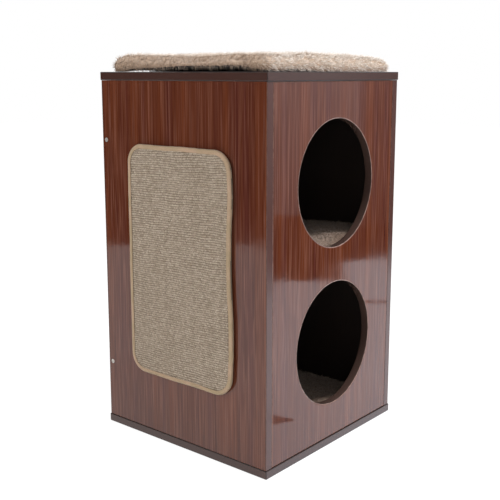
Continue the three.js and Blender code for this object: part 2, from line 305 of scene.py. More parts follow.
class Recipe(Graph):
    """A reusable node group with named inputs, of shaders or of shapes."""

    KINDS = {float: "NodeSocketFloat", int: "NodeSocketInt", tuple: "NodeSocketVector", str: None}

    def __init__(
        self, name: str, inputs: dict[str, Any], outputs: dict[str, str] | None = None
    ) -> None:
        """Makes the group and its sockets.

        Args:
            name: the group's name.
            inputs: for each input its first value, or its socket's type name.
            outputs: for each output of a shader effect its socket's type name, none for a shape.
        """
        kind = "ShaderNodeTree" if outputs else "GeometryNodeTree"
        outputs = outputs or {"Geometry": GEOMETRY}
        super().__init__(bpy.data.node_groups.new(name, kind))
        for label, value in inputs.items():
            sort = value if isinstance(value, str) else self.KINDS[type(value)]
            socket = self.tree.interface.new_socket(label, in_out="INPUT", socket_type=sort)
            if not isinstance(value, str):
                socket.default_value = value
        for label, sort in outputs.items():
            self.tree.interface.new_socket(label, in_out="OUTPUT", socket_type=sort)
        self.given = self.tree.nodes.new("NodeGroupInput").outputs
        self.result = self.tree.nodes.new("NodeGroupOutput")

    def give(self, label: str, socket: Socket) -> None:
        """Sends a socket to the output of that name."""
        self.tree.links.new(socket, self.result.inputs[label])

    def finish_shape(self, shape: Socket, material: Socket) -> None:
        """Makes instances real, gives them their material and sends them out.

        Args:
            shape: socket with the shape.
            material: socket with the material.
        """
        real = self.one("GeometryNodeRealizeInstances", {"Geometry": shape})
        dressed = self.add("GeometryNodeSetMaterial", {"Geometry": real, "Material": material})
        self.give("Geometry", dressed.outputs[0])

    def grow(self, name: str, base: Mesh | None, **values: Any) -> Mesh:
        """Runs the plan once and keeps what it makes as a plain mesh.

        Args:
            name: the mesh's name.
            base: the mesh that the plan works on, if any.
            **values: the plan's inputs, with _ for a space.

        Returns:
            The finished mesh.
        """
        host = bpy.data.objects.new(name + "_host", base or bpy.data.meshes.new(name + "_base"))
        show(host)
        modifier = host.modifiers.new(name, "NODES")
        modifier.node_group = self.tree
        for item in self.tree.interface.items_tree:
            label = item.name.replace(" ", "_").lower()
            if item.item_type == "SOCKET" and item.in_out == "INPUT" and label in values:
                modifier[item.identifier] = values[label]
        graph = bpy.context.evaluated_depsgraph_get()
        mesh = bpy.data.meshes.new_from_object(
            host.evaluated_get(graph), preserve_all_data_layers=True, depsgraph=graph
        )
        mesh.name = name
        host.modifiers.remove(modifier)
        bpy.data.objects.remove(host)
        return mesh


class Effects:
    """Shader effects that several finishes share, each built once."""

    def __init__(self) -> None:
        """Builds the groups."""
        self.grain = self._grain()
        self.fibre = self._fibre()
        self.wear = self._wear()
        self.handling = self._handling()

    @staticmethod
    def _grain() -> Tree:
        """Builds straight wood grain along Z: broad bands, streaks and fine pore lines.

        Returns:
            The group.
        """
        inputs = {"Vector": "NodeSocketVector", "Bands": 52.0, "Streaks": 270.0, "Pores": 450.0, "Run": 0.02}
        outputs = {label: "NodeSocketFloat" for label in ("Band", "Streak", "Pore")}
        plan = Recipe("wood_grain", inputs, outputs)
        run = plan.point(1.0, 1.0, plan.given["Run"])
        drawn = plan.vector("MULTIPLY", plan.given["Vector"], run)
        sway_width, sway_waves = 0.004, 3.0
        sway = plan.noise(plan.given["Vector"], sway_waves, 1.0, 1)
        moved = plan.vector("ADD", drawn, plan.scale(sway, sway_width))
        layers = (("Band", "Bands", 3.0), ("Streak", "Streaks", 4.0), ("Pore", "Pores", 2.0))
        for label, scale, detail in layers:
            plan.give(label, plan.noise(moved, plan.given[scale], detail))
        return plan.tree

    @staticmethod
    def _fibre() -> Tree:
        """Builds short drawn-out flecks, as in yarn, cloth and tape.

        Returns:
            The group.
        """
        inputs = {"Vector": "NodeSocketVector", "Scale": 900.0, "Drawn": (1.0, 0.25, 1.0)}
        outputs = {"Fleck": "NodeSocketFloat", "Patch": "NodeSocketFloat"}
        plan = Recipe("fibre_flecks", inputs, outputs)
        drawn = plan.vector("MULTIPLY", plan.given["Vector"], plan.given["Drawn"])
        patch_share = 0.05
        plan.give("Fleck", plan.noise(drawn, plan.given["Scale"], 3.0))
        wide = plan.times(plan.given["Scale"], patch_share)
        plan.give("Patch", plan.noise(plan.given["Vector"], wide, 2.0))
        return plan.tree

    @staticmethod
    def _wear() -> Tree:
        """Builds a broken mask on the faces that are marked as rubbed edges.

        Returns:
            The group.
        """
        inputs = {"Vector": "NodeSocketVector", "Scale": 90.0, "Amount": 0.5}
        plan = Recipe("edge_wear", inputs, {"Mask": "NodeSocketFloat"})
        spots = plan.noise(plan.given["Vector"], plan.given["Scale"], 3.0)
        low, high = 0.35, 0.65
        broken = plan.span(spots, low, high, low, 1.0)
        rubbed = plan.times(plan.read(RUB), broken)
        plan.give("Mask", plan.times(rubbed, plan.given["Amount"]))
        return plan.tree

    @staticmethod
    def _handling() -> Tree:
        """Builds the uneven gloss that hands and cloths leave.

        Returns:
            The group.
        """
        inputs = {"Vector": "NodeSocketVector", "Scale": 14.0, "Low": 0.1, "High": 0.2}
        plan = Recipe("handling_marks", inputs, {"Roughness": "NodeSocketFloat"})
        spots = plan.noise(plan.given["Vector"], plan.given["Scale"], 4.0)
        first, last = 0.35, 0.7
        plan.give("Roughness", plan.span(spots, first, last, plan.given["Low"], plan.given["High"]))
        return plan.tree


@dataclass(frozen=True)
class Finish:
    """What every finish starts from.

    Attributes:
        name: the material's name.
        gloss: its least and greatest roughness.
        relief: height of its fine relief and how much of it is used.
    """

    BLOTCH = (0.3, 0.7)

    name: str
    gloss: Ends = (0.7, 0.88)
    relief: Ends = (0.0002, 0.5)

    def start(self, **values: Any) -> tuple[Material, Graph, Node, Socket]:
        """Makes the material with its main shader.

        Args:
            **values: plain values of the shader's inputs, with _ for a space.

        Returns:
            The material, its graph, the main shader and the socket with the place.
        """
        made = bpy.data.materials.new(self.name)
        made.use_nodes = True
        graph = Graph(made.node_tree)
        shader = made.node_tree.nodes["Principled BSDF"]
        for label, value in values.items():
            shader.inputs[label.replace("_", " ")].default_value = value
        return made, graph, shader, graph.add("ShaderNodeTexCoord").outputs["Object"]

    def handled(self, graph: Graph, effects: Effects, place: Socket, scale: float = 14.0) -> Socket:
        """Gives the uneven roughness of a hard finish that is handled.

        Args:
            graph: the material's graph.
            effects: the shared effects.
            place: socket with the place.
            scale: how many marks there are in a metre.

        Returns:
            The socket with the roughness.
        """
        low, high = self.gloss
        feeds = {"Vector": place, "Scale": scale, "Low": low, "High": high}
        return graph.place(effects.handling, feeds).outputs[0]

    def dress(self, graph: Graph, shader: Node, colour: Socket, rough: Socket, height: Socket) -> None:
        """Feeds the main shader its colour, roughness and relief.

        Args:
            graph: the material's graph.
            shader: its main shader.
            colour: socket with the colour.
            rough: socket with the roughness.
            height: socket with the relief's height.
        """
        distance, strength = self.relief
        feeds = {"Strength": strength, "Distance": distance, "Height": height}
        bump = graph.one("ShaderNodeBump", feeds)
        for label, socket in (("Base Color", colour), ("Roughness", rough), ("Normal", bump)):
            graph.tree.links.new(socket, shader.inputs[label])


class Grain(Enum):
    """Which way the printed grain runs, as the turn that brings it to Z."""

    UPRIGHT = (0.0, 0.0, 0.0)
    ACROSS = (0.0, math.pi / 2, 0.0)


@dataclass(frozen=True)
class Laminate(Finish):
    """Glossy walnut-printed foil on a show face."""

    grain: Grain = Grain.UPRIGHT
    dark: Colour = paint(58, 22, 14)
    cool: Colour = paint(81, 41, 33)
    middle: Colour = paint(85, 43, 28)
    warm: Colour = paint(98, 50, 30)
    pale: Colour = paint(122, 80, 65)
    edge_wear_and_light: Colour = paint(150, 112, 95)
    gloss: Ends = (0.05, 0.11)
    relief: Ends = (0.0004, 0.12)

    def material(self, effects: Effects) -> Material:
        """Builds the foil: bands from dark to warm, darker streaks, pale pores, a soft ripple.

        Args:
            effects: the shared effects.

        Returns:
            The material.
        """
        made, graph, shader, place = self.start(IOR=1.5)
        feeds = {"Vector": place, "Rotation": self.grain.value}
        turned = graph.one("ShaderNodeMapping", feeds)
        wood = graph.place(effects.grain, {"Vector": turned})
        band_places = (0.36, 0.5, 0.68)
        stops = tuple(zip(band_places, (self.cool, self.middle, self.warm)))
        bands = graph.ramp(wood.outputs["Band"], stops)
        streak_low, streak_high, streak_share = 0.36, 0.52, 0.46
        streak = graph.span(wood.outputs["Streak"], streak_low, streak_high, streak_share, 0.0)
        streaked = graph.mix(streak, bands, self.dark)
        pore_low, pore_high, pore_share = 0.48, 0.7, 0.62
        pore = graph.span(wood.outputs["Pore"], pore_low, pore_high, 0.0, pore_share)
        grained = graph.mix(pore, streaked, self.pale)
        wear_share = 0.5
        wear = graph.place(effects.wear, {"Vector": place, "Amount": wear_share}).outputs["Mask"]
        ripples = 60.0
        rough = self.handled(graph, effects, place)
        colour = graph.mix(wear, grained, self.edge_wear_and_light)
        self.dress(graph, shader, colour, rough, graph.noise(place, ripples))
        return made


@dataclass(frozen=True)
class PlainBoard(Finish):
    """Near-black facing inside the house, with a faint pressed grain."""

    base: Colour = paint(33, 26, 23)
    light: Colour = paint(46, 36, 31)
    gloss: Ends = (0.45, 0.6)
    relief: Ends = (0.0001, 0.4)

    def material(self, effects: Effects) -> Material:
        """Builds the facing.

        Args:
            effects: the shared effects.

        Returns:
            The material.
        """
        made, graph, shader, place = self.start(IOR=1.45)
        streaks = 220.0
        wood = graph.place(effects.grain, {"Vector": place, "Streaks": streaks}).outputs
        colour = graph.mix(wood["Streak"], self.base, self.light)
        self.dress(graph, shader, colour, self.handled(graph, effects, place), wood["Pore"])
        return made


@dataclass(frozen=True)
class Banding(Finish):
    """Dark brown plastic edge banding, satin, with its marked edges coloured apart: lighter rubbed wear, or
    painted shade or a painted highlight where a finish sets it so.
    """

    base: Colour = paint(71, 42, 37)
    mottle: Colour = paint(79, 48, 41)
    edge_wear_and_light: Colour = paint(128, 100, 88)
    wear: float = 0.35
    gloss: Ends = (0.16, 0.26)
    relief: Ends = (0.00006, 0.3)

    def material(self, effects: Effects) -> Material:
        """Builds the banding.

        Args:
            effects: the shared effects.

        Returns:
            The material.
        """
        made, graph, shader, place = self.start(IOR=1.5)
        fleck_scale = 700.0
        spots = graph.place(effects.fibre, {"Vector": place, "Scale": fleck_scale}).outputs["Fleck"]
        tint = graph.mix(spots, self.base, self.mottle)
        # The marked edges take the edge colour: rubbed wear here, and painted shade and a painted highlight
        # on the slab and mouth banding.
        mask = graph.place(effects.wear, {"Vector": place, "Amount": self.wear}).outputs["Mask"]
        rough = self.handled(graph, effects, place)
        self.dress(graph, shader, graph.mix(mask, tint, self.edge_wear_and_light), rough, spots)
        return made


@dataclass(frozen=True)
class Plush(Finish):
    """Beige-brown pile: deep at the root, pale at the tip, each tuft of its own tone, the tone shifted paler
    or darker by which way a face looks, as painted side light.
    """

    root: Colour = paint(172, 148, 127)
    root_pale: Colour = paint(220, 201, 184)
    tip_dark: Colour = paint(184, 158, 135)
    tip_pale: Colour = paint(255, 250, 244)
    under: Colour = paint(30, 26, 24)
    gloss: Ends = (0.78, 0.95)
    relief: Ends = (0.0006, 0.5)

    def material(self, effects: Effects) -> Material:
        """Builds the pile's material, which the cloth under it shares.

        Args:
            effects: the shared effects.

        Returns:
            The material.
        """
        made, graph, shader, place = self.start(
            Sheen_Weight=0.25, Sheen_Roughness=0.6, Specular_IOR_Level=0.2
        )
        tone, tip = graph.read(TONE), graph.read(TIP)
        fleck_scale, root_end = 600.0, 0.6
        flecks = graph.place(effects.fibre, {"Vector": place, "Scale": fleck_scale}).outputs
        # The tone carries the painted side light: paler on faces that look along the nap, darker on faces
        # against it.
        tips = graph.mix(tone, self.tip_dark, self.tip_pale)
        along = graph.span(tip, 0.0, root_end, 0.0, 1.0)
        roots = graph.mix(tone, self.root, self.root_pale)
        blended = graph.mix(along, roots, tips)
        # Cloth faces marked with a tip of -1, those that look down, are coloured near-black.
        bare, covered = -1.0, -0.5
        blended = graph.mix(graph.span(tip, bare, covered, 1.0, 0.0), blended, self.under)
        darkest, lightest = 0.88, 1.06
        speck = graph.span(flecks["Fleck"], *self.BLOTCH, darkest, lightest)
        level = graph.one("ShaderNodeCombineColor", {0: speck, 1: speck, 2: speck})
        rough = graph.span(flecks["Patch"], *self.BLOTCH, *self.gloss)
        colour = graph.mix(1.0, blended, level, "MULTIPLY")
        self.dress(graph, shader, colour, rough, flecks["Fleck"])
        return made


@dataclass(frozen=True)
class Yarn(Finish):
    """Sisal: dry twisted fibre, each hump of the weave of its own tone."""

    deep: Colour = paint(152, 138, 121)
    pale: Colour = paint(183, 169, 152)
    gap: Colour = paint(114, 99, 83)
    gloss: Ends = (0.7, 0.9)
    relief: Ends = (0.0005, 0.6)

    def material(self, effects: Effects) -> Material:
        """Builds the yarn's material.

        Args:
            effects: the shared effects.

        Returns:
            The material.
        """
        made, graph, shader, place = self.start(Specular_IOR_Level=0.25, Sheen_Weight=0.1)
        feeds = {"Vector": place, "Scale": 700.0, "Drawn": (1.0, 0.4, 1.0)}
        flecks = graph.place(effects.fibre, feeds).outputs
        body = graph.mix(graph.read(TONE), self.deep, self.pale)
        gap_low, gap_high, gap_share = 0.36, 0.56, 0.5
        fine = graph.span(flecks["Fleck"], gap_low, gap_high, gap_share, 0.0)
        rough = graph.span(flecks["Patch"], *self.BLOTCH, *self.gloss)
        self.dress(graph, shader, graph.mix(fine, body, self.gap), rough, flecks["Fleck"])
        return made


@dataclass(frozen=True)
class Cloth(Finish):
    """Woven tape or backing cloth, in its own UV map, where u runs along it."""

    base: Colour = paint(170, 149, 120)
    shade: Colour = paint(146, 126, 99)
    faded: Colour = paint(200, 166, 145)
    thread: float = 0.0009

    def material(self, effects: Effects) -> Material:
        """Builds a fine twill with uneven dye.

        Args:
            effects: the shared effects.

        Returns:
            The material.
        """
        made, graph, shader, place = self.start(Sheen_Weight=0.15, Specular_IOR_Level=0.25)
        chart = graph.add("ShaderNodeTexCoord").outputs["UV"]
        slant = (0.0, 0.0, math.radians(35))
        feeds = {"Vector": chart, "Rotation": slant, "Scale": (1 / self.thread,) * 3}
        twill = graph.one("ShaderNodeMapping", feeds)
        feeds = {"Vector": twill, "Scale": 0.5, "Distortion": 1.5}
        rib = graph.add("ShaderNodeTexWave", feeds).outputs[1]
        dye_scale = 500.0
        dye = graph.place(effects.fibre, {"Vector": place, "Scale": dye_scale}).outputs
        share = graph.times(graph.math("ADD", rib, dye["Fleck"]), 0.5)
        fade_low, fade_high, fade_share = 0.42, 0.62, 0.8
        bleach = graph.span(dye["Patch"], fade_low, fade_high, 0.0, fade_share)
        body = graph.mix(bleach, self.base, self.faded)
        rough = graph.span(dye["Patch"], *self.BLOTCH, *self.gloss)
        self.dress(graph, shader, graph.mix(share, self.shade, body), rough, rib)
        return made


@dataclass(frozen=True)
class Metal(Finish):
    """Zinc: cast and dull, or plated and bright."""

    base: Colour = paint(170, 170, 173)
    stain: Colour = paint(120, 118, 116)
    metallic: float = 1.0
    gloss: Ends = (0.3, 0.5)
    relief: Ends = (0.00008, 0.4)

    def material(self, effects: Effects) -> Material:
        """Builds the metal with cloudy plating.

        Args:
            effects: the shared effects.

        Returns:
            The material.
        """
        made, graph, shader, place = self.start(Metallic=self.metallic)
        feeds = {"Vector": place, "Scale": 1200.0, "Drawn": (1.0, 1.0, 1.0)}
        cloud = graph.place(effects.fibre, feeds).outputs
        marks = 260.0
        rough = self.handled(graph, effects, place, marks)
        self.dress(graph, shader, graph.mix(cloud["Patch"], self.stain, self.base), rough, cloud["Fleck"])
        return made


@dataclass
class Workshop:
    """Every finish of the cat house, made once and handed to the sub-assemblies."""

    effects: Effects = field(default_factory=Effects)
    made: dict[str, Material] = field(default_factory=dict)

    def __post_init__(self) -> None:
        """Makes the materials."""
        finishes = (
            Laminate("walnut_upright"),
            Laminate("walnut_level", grain=Grain.ACROSS),
            PlainBoard("dark_facing"),
            Banding("dark_banding"),
            # Top and bottom boards' banding: its darker base and near-black rounded edges are painted shade.
            Banding("slab_banding", base=paint(60, 40, 36), mottle=paint(70, 47, 41),
                    edge_wear_and_light=paint(30, 17, 15), wear=1.0),
            # Mouth rings' banding: the pale front lip is partly rubbed wear and partly a painted highlight.
            Banding("mouth_banding", base=paint(64, 49, 45), mottle=paint(72, 55, 49),
                    edge_wear_and_light=paint(174, 144, 134), wear=1.0),
            Plush("beige_plush"),
            # A darker copy of the beige plush for the pads inside the dens, darkened as painted shade.
            Plush("den_plush", root=paint(114, 94, 80), root_pale=paint(124, 104, 90),
                  tip_dark=paint(138, 115, 99), tip_pale=paint(180, 160, 144)),
            Yarn("sisal_yarn"),
            Yarn("sisal_ground", deep=paint(116, 101, 85), pale=paint(136, 121, 104),
                 gap=paint(96, 82, 67)),
            Cloth("binding_tape"),
            Cloth("binding_thread", base=paint(206, 180, 150), shade=paint(170, 142, 114),
                  faded=paint(214, 186, 160)),
            Cloth("nylon_tape", base=paint(34, 32, 31), shade=paint(22, 21, 20),
                  faded=paint(40, 38, 36), gloss=(0.45, 0.6)),
            Metal("cast_zinc", base=paint(168, 168, 171), gloss=(0.4, 0.6)),
            Metal("plated_steel", base=paint(226, 222, 217), stain=paint(184, 176, 168),
                  gloss=(0.35, 0.5), metallic=0.6),
        )
        for finish in finishes:
            self.made[finish.name] = finish.material(self.effects)

    def __getitem__(self, name: str) -> Material:
        """Gives a finish by name."""
        return self.made[name]


def add_piece(name: str, mesh: Mesh, body: str, stands_for: Sequence[str]) -> Piece:
    """Puts a finished mesh in the scene as a piece of the object.

    Args:
        name: the piece's name.
        mesh: its mesh, in place.
        body: the body that it moves with.
        stands_for: the solids that it is shown in place of.

    Returns:
        The new object.
    """
    mesh.name = name
    piece = bpy.data.objects.new(name, mesh)
    show(piece)
    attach(piece, body)
    if stands_for:
        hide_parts(*stands_for)
    LOG.info("%s: %d faces, rides on %s", name, len(mesh.polygons), body)
    return piece


def merged_copy(node: str) -> Shape:
    """Copies a solid's mesh with its points merged and its flat triangles joined.

    Args:
        node: the solid.

    Returns:
        The copy, open for editing.
    """
    shape = bmesh.new()
    shape.from_mesh(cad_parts[node].data)
    bmesh.ops.remove_doubles(shape, verts=shape.verts, dist=MERGE)
    bmesh.ops.dissolve_limit(shape, angle_limit=FLAT_ANGLE, verts=shape.verts, edges=shape.edges)
    return shape


def to_mesh(shape: Shape, name: str, materials: Sequence[Material]) -> Mesh:
    """Turns a shape being edited into a mesh with materials and frees it.

    Args:
        shape: the shape.
        name: the mesh's name.
        materials: its materials in the order of its faces' numbers.

    Returns:
        The mesh.
    """
    mesh = bpy.data.meshes.new(name)
    shape.to_mesh(mesh)
    shape.free()
    for material in materials:
        mesh.materials.append(material)
    return mesh


def smooth(mesh: Mesh) -> Mesh:
    """Shades a mesh smoothly except over its sharp edges.

    Args:
        mesh: the mesh.

    Returns:
        The same mesh.
    """
    mesh.polygons.foreach_set("use_smooth", [True] * len(mesh.polygons))
    mesh.set_sharp_from_angle(angle=SHARP_ANGLE)
    return mesh


def round_edges(
    shape: Shape, edges: Sequence[Edge], radius: float, steps: int, clamped: bool = False
) -> Sequence[bmesh.types.BMFace]:
    """Rounds some edges of a shape.

    Args:
        shape: the shape.
        edges: its edges.
        radius: their rounding.
        steps: flats in the rounding.
        clamped: whether neighbouring roundings stop each other.

    Returns:
        The new faces.
    """
    made = bmesh.ops.bevel(
        shape, geom=edges, offset=radius, segments=steps, profile=0.5, affect="EDGES",
        clamp_overlap=clamped,
    )
    return made["faces"]


class Look(Enum):
    """Which way a board's show face looks."""

    LEFT = (-1.0, 0.0, 0.0)
    RIGHT = (1.0, 0.0, 0.0)
    FRONT = (0.0, -1.0, 0.0)
    BACK = (0.0, 1.0, 0.0)
    UP = (0.0, 0.0, 1.0)
    INSIDE = (0.0, 0.0, 0.0)


@dataclass
class Carcass:
    """The boards, their edge banding, the rings in the mouths and the fittings that hold them.

    Attributes:
        board_rounding: radius of a board's long edges.
        front_rounding: radius of the front wall's edges, beside the side walls' banding.
        rim: width of the front wall's trimmed edge round each mouth.
        banding_rounding: radius of the banding's edges.
        slab_rounding: radius of the top and bottom boards' banding.
        ring_rounding: radius of the mouth rings' lips.
        ring_lip: how deep their front lip is, marked as rubbed and coloured pale, partly as wear and partly
            as a painted highlight.
        ring_wall: thickness of their banding.
        rounding_steps: flats in each rounding.
        ring_steps: sides of a mouth ring.
        shown_share: how squarely a face has to look outwards to be shown as laminate.
    """

    board_rounding: float = 0.0004
    front_rounding: float = 0.0014
    rim: float = 0.0006
    slab_rounding: float = 0.0014
    banding_rounding: float = 0.0005
    ring_rounding: float = 0.0004
    ring_lip: float = 0.0012
    ring_wall: float = 0.001
    rounding_steps: int = 3
    ring_steps: int = 144
    shown_share: float = 0.3

    BOARDS = (
        ("roof_board", "top_panel", Look.UP, "walnut_level"),
        ("floor_board", "bottom_panel", Look.INSIDE, "dark_facing"),
        ("left_wall", "left_side_panel", Look.LEFT, "walnut_upright"),
        ("right_wall", "right_side_panel", Look.RIGHT, "walnut_upright"),
        ("front_wall", "front_panel", Look.FRONT, "walnut_upright"),
        ("back_wall", "back_panel", Look.BACK, "walnut_upright"),
        ("den_shelf", "middle_shelf", Look.INSIDE, "dark_facing"),
    )
    BANDS = (
        ("roof_board_banding", "top_panel_edge_band"),
        ("floor_board_banding", "bottom_panel_edge_band"),
        ("left_wall_front_banding", "left_side_front_edge_band"),
        ("left_wall_rear_banding", "left_side_rear_edge_band"),
        ("right_wall_front_banding", "right_side_front_edge_band"),
        ("right_wall_rear_banding", "right_side_rear_edge_band"),
    )
    RINGS = (("upper_mouth_ring", "upper_mouth_edge_band"), ("lower_mouth_ring", "lower_mouth_edge_band"))

    def soften(self, node: str, rounding: float) -> Shape:
        """Copies a board's solid and rounds the edges of its outer box.

        Args:
            node: the solid.
            rounding: the edges' radius.

        Returns:
            The shape, with its rounded faces marked as rubbed, which a finish colours as wear, as painted
            shade or as a painted highlight.
        """
        shape = merged_copy(node)
        low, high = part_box(node)
        rubbed = shape.faces.layers.float.new(RUB)

        def sides(point: Vector) -> set[tuple[int, int]]:
            """Lists the sides of the box that a point lies on."""
            ends = ((axis, end, side[axis]) for axis in range(3) for end, side in enumerate((low, high)))
            return {(axis, end) for axis, end, at in ends if abs(point[axis] - at) < ON_PLANE}

        edges = [e for e in shape.edges if len(sides(e.verts[0].co) & sides(e.verts[1].co)) > 1]
        for face in round_edges(shape, edges, rounding, self.rounding_steps):
            face[rubbed] = 1.0
        return shape

    def trim_mouths(self, shape: Shape, face: float) -> None:
        """Takes the edge off round the mouths, where the banding was trimmed flush.

        Args:
            shape: the front wall.
            face: where its show face is, front to back.
        """
        rubbed = shape.faces.layers.float[RUB]
        square = math.radians(80)
        edges = [
            e for e in shape.edges
            if all(abs(v.co.y - face) < ON_PLANE for v in e.verts) and e.calc_face_angle(0.0) > square
        ]
        strong = 1.2
        for part in round_edges(shape, edges, self.rim, 2):
            part[rubbed] = strong

    def board(self, workshop: Workshop, name: str, node: str, look: Look, finish: str) -> Piece:
        """Makes one board: laminate on its show face, dark facing elsewhere.

        Args:
            workshop: the finishes.
            name: the piece's name.
            node: its solid.
            look: which way its show face looks.
            finish: the show face's finish.

        Returns:
            The piece.
        """
        front = look is Look.FRONT
        rounding = self.front_rounding if front else self.board_rounding
        shape = self.soften(node, rounding)
        low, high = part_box(node)
        if front:
            self.trim_mouths(shape, low.y)
        outwards = Vector(look.value)
        reach = max(outwards.dot(low), outwards.dot(high))
        deepest = 2 * rounding
        for face in shape.faces:
            near = outwards.dot(face.calc_center_median()) > reach - deepest
            face.material_index = int(not (near and face.normal.dot(outwards) > self.shown_share))
        mesh = to_mesh(shape, name, (workshop[finish], workshop["dark_facing"]))
        return add_piece(name, mesh, "house", [node])

    def banding(self, workshop: Workshop, name: str, node: str) -> Piece:
        """Makes one length of edge banding from its solid.

        Args:
            workshop: the finishes.
            name: the piece's name.
            node: its solid.

        Returns:
            The piece.
        """
        slab = "board" in name
        # The top and bottom boards take the slab banding, which is darker and near-black on its rounded edges
        # as painted shade.
        finish = workshop["slab_banding" if slab else "dark_banding"]
        shape = self.soften(node, self.slab_rounding if slab else self.banding_rounding)
        return add_piece(name, to_mesh(shape, name, (finish,)), "house", [node])

    def ring(self, workshop: Workshop, name: str, node: str) -> Piece:
        """Turns a mouth's banding: a thin ring with rounded lips at both faces of the wall.

        Args:
            workshop: the finishes.
            name: the piece's name.
            node: its solid.

        Returns:
            The piece.
        """
        low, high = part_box(node)
        middle = (low + high) / 2
        outer = (high.x - low.x) / 2
        inner = outer - self.ring_wall
        turn = math.pi / 2 / self.rounding_steps
        small = self.ring_rounding
        corners = (
            (outer - small, low.y + small, 0.0),
            (inner + small, low.y + small, 1.0),
            (inner + small, high.y - small, 2.0),
            (outer - small, high.y - small, 3.0),
        )
        section: list[tuple[float, float, float]] = []
        for radius, depth, quarter in corners:
            for step in range(self.rounding_steps + 1):
                angle = quarter * math.pi / 2 + step * turn
                lip = 1.0 if quarter < 2 else 0.0
                section.append((radius + small * math.cos(angle), depth - small * math.sin(angle), lip))
        shape = bmesh.new()
        rubbed = shape.faces.layers.float.new(RUB)
        rounds = []
        for step in range(self.ring_steps):
            angle = 2 * math.pi * step / self.ring_steps
            across, up = math.cos(angle), math.sin(angle)
            rounds.append([
                shape.verts.new((middle.x + radius * across, depth, middle.z + radius * up))
                for radius, depth, _ in section
            ])
        for step in range(self.ring_steps):
            here, there = rounds[step], rounds[(step + 1) % self.ring_steps]
            for k in range(len(section)):
                after = (k + 1) % len(section)
                face = shape.faces.new((here[k], there[k], there[after], here[after]))
                # The front lip is marked as rubbed. Its pale colour is partly wear and partly a painted
                # highlight.
                front = max(section[k][1], section[after][1]) < low.y + self.ring_lip
                face[rubbed] = 1.0 if front else 0.0
        bmesh.ops.recalc_face_normals(shape, faces=shape.faces)
        mesh = smooth(to_mesh(shape, name, (workshop["mouth_banding"],)))
        return add_piece(name, mesh, "house", [node])

    def fittings(self, workshop: Workshop) -> None:
        """Gives the hidden fasteners, which keep their solids, their metals.

        Args:
            workshop: the finishes.
        """
        steel = "plated_steel"
        metals = {"cam_lock": "cast_zinc", "cam_bolt": steel, "peg": steel, "screw": steel}
        for name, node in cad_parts.items():
            for ending, metal in metals.items():
                if name.endswith(ending):
                    node.data.materials.clear()
                    node.data.materials.append(workshop[metal])
                    LOG.info("%s: keeps its solid, %s", name, metal)

    def build(self, workshop: Workshop) -> None:
        """Makes every piece of the carcass.

        Args:
            workshop: the finishes.
        """
        for name, node, look, finish in self.BOARDS:
            self.board(workshop, name, node, look, finish)
        for name, node in self.BANDS:
            self.banding(workshop, name, node)
        for name, node in self.RINGS:
            self.ring(workshop, name, node)
        self.fittings(workshop)


@dataclass(frozen=True)
class Dent:
    """A soft hollow or lump in a cushion.

    Attributes:
        x: where its middle is, across.
        y: where its middle is, front to back.
        reach: how far it spreads.
        rise: how far it lifts the cloth, negative for a hollow.
        top: 1 for the top, 0 for the underside.
        way: which way it moves the cloth.
    """

    x: float
    y: float
    reach: float
    rise: float
    top: float = 1.0
    way: Point = (0.0, 0.0, 1.0)


def dents(top: float, *rows: tuple[float, float, float, float]) -> tuple[Dent, ...]:
    """Lists dents of a cushion's top, 1, or of its underside, 0, as x, y, reach and rise."""
    return tuple(Dent(*row, top) for row in rows)


@dataclass(frozen=True)
class Pad:
    """One cushion: where it lies, how plump it is and how its use has dented it.

    Attributes:
        name: the piece's name.
        node: the solid whose place it takes.
        seed: for its pile.
        floor: how low its pile may hang.
        dents: its hollows and lumps.
        body: the body that it moves with.
        finish: its pile's finish.
        thickness: height of its rim before it is stuffed.
        rim: radius of its upper edge.
        foot: radius of its lower edge.
        proud: how far its cloth may stand out past its solid, sideways.
        facing: how far down the pile grows, as the least upward share of a face's normal.
        fringe: how closely clumps hang under its edges, 0 for none.
        pile: how long its strands are.
        density: strands in a square metre.
    """

    name: str
    node: str
    seed: int
    floor: float
    dents: tuple[Dent, ...]
    body: str = "house"
    finish: str = "den_plush"
    thickness: float = 0.026
    rim: float = 0.011
    foot: float = 0.011
    proud: float = 0.0
    facing: float = 0.1
    fringe: float = 0.0
    pile: float = 0.0055
    density: float = 120000.0


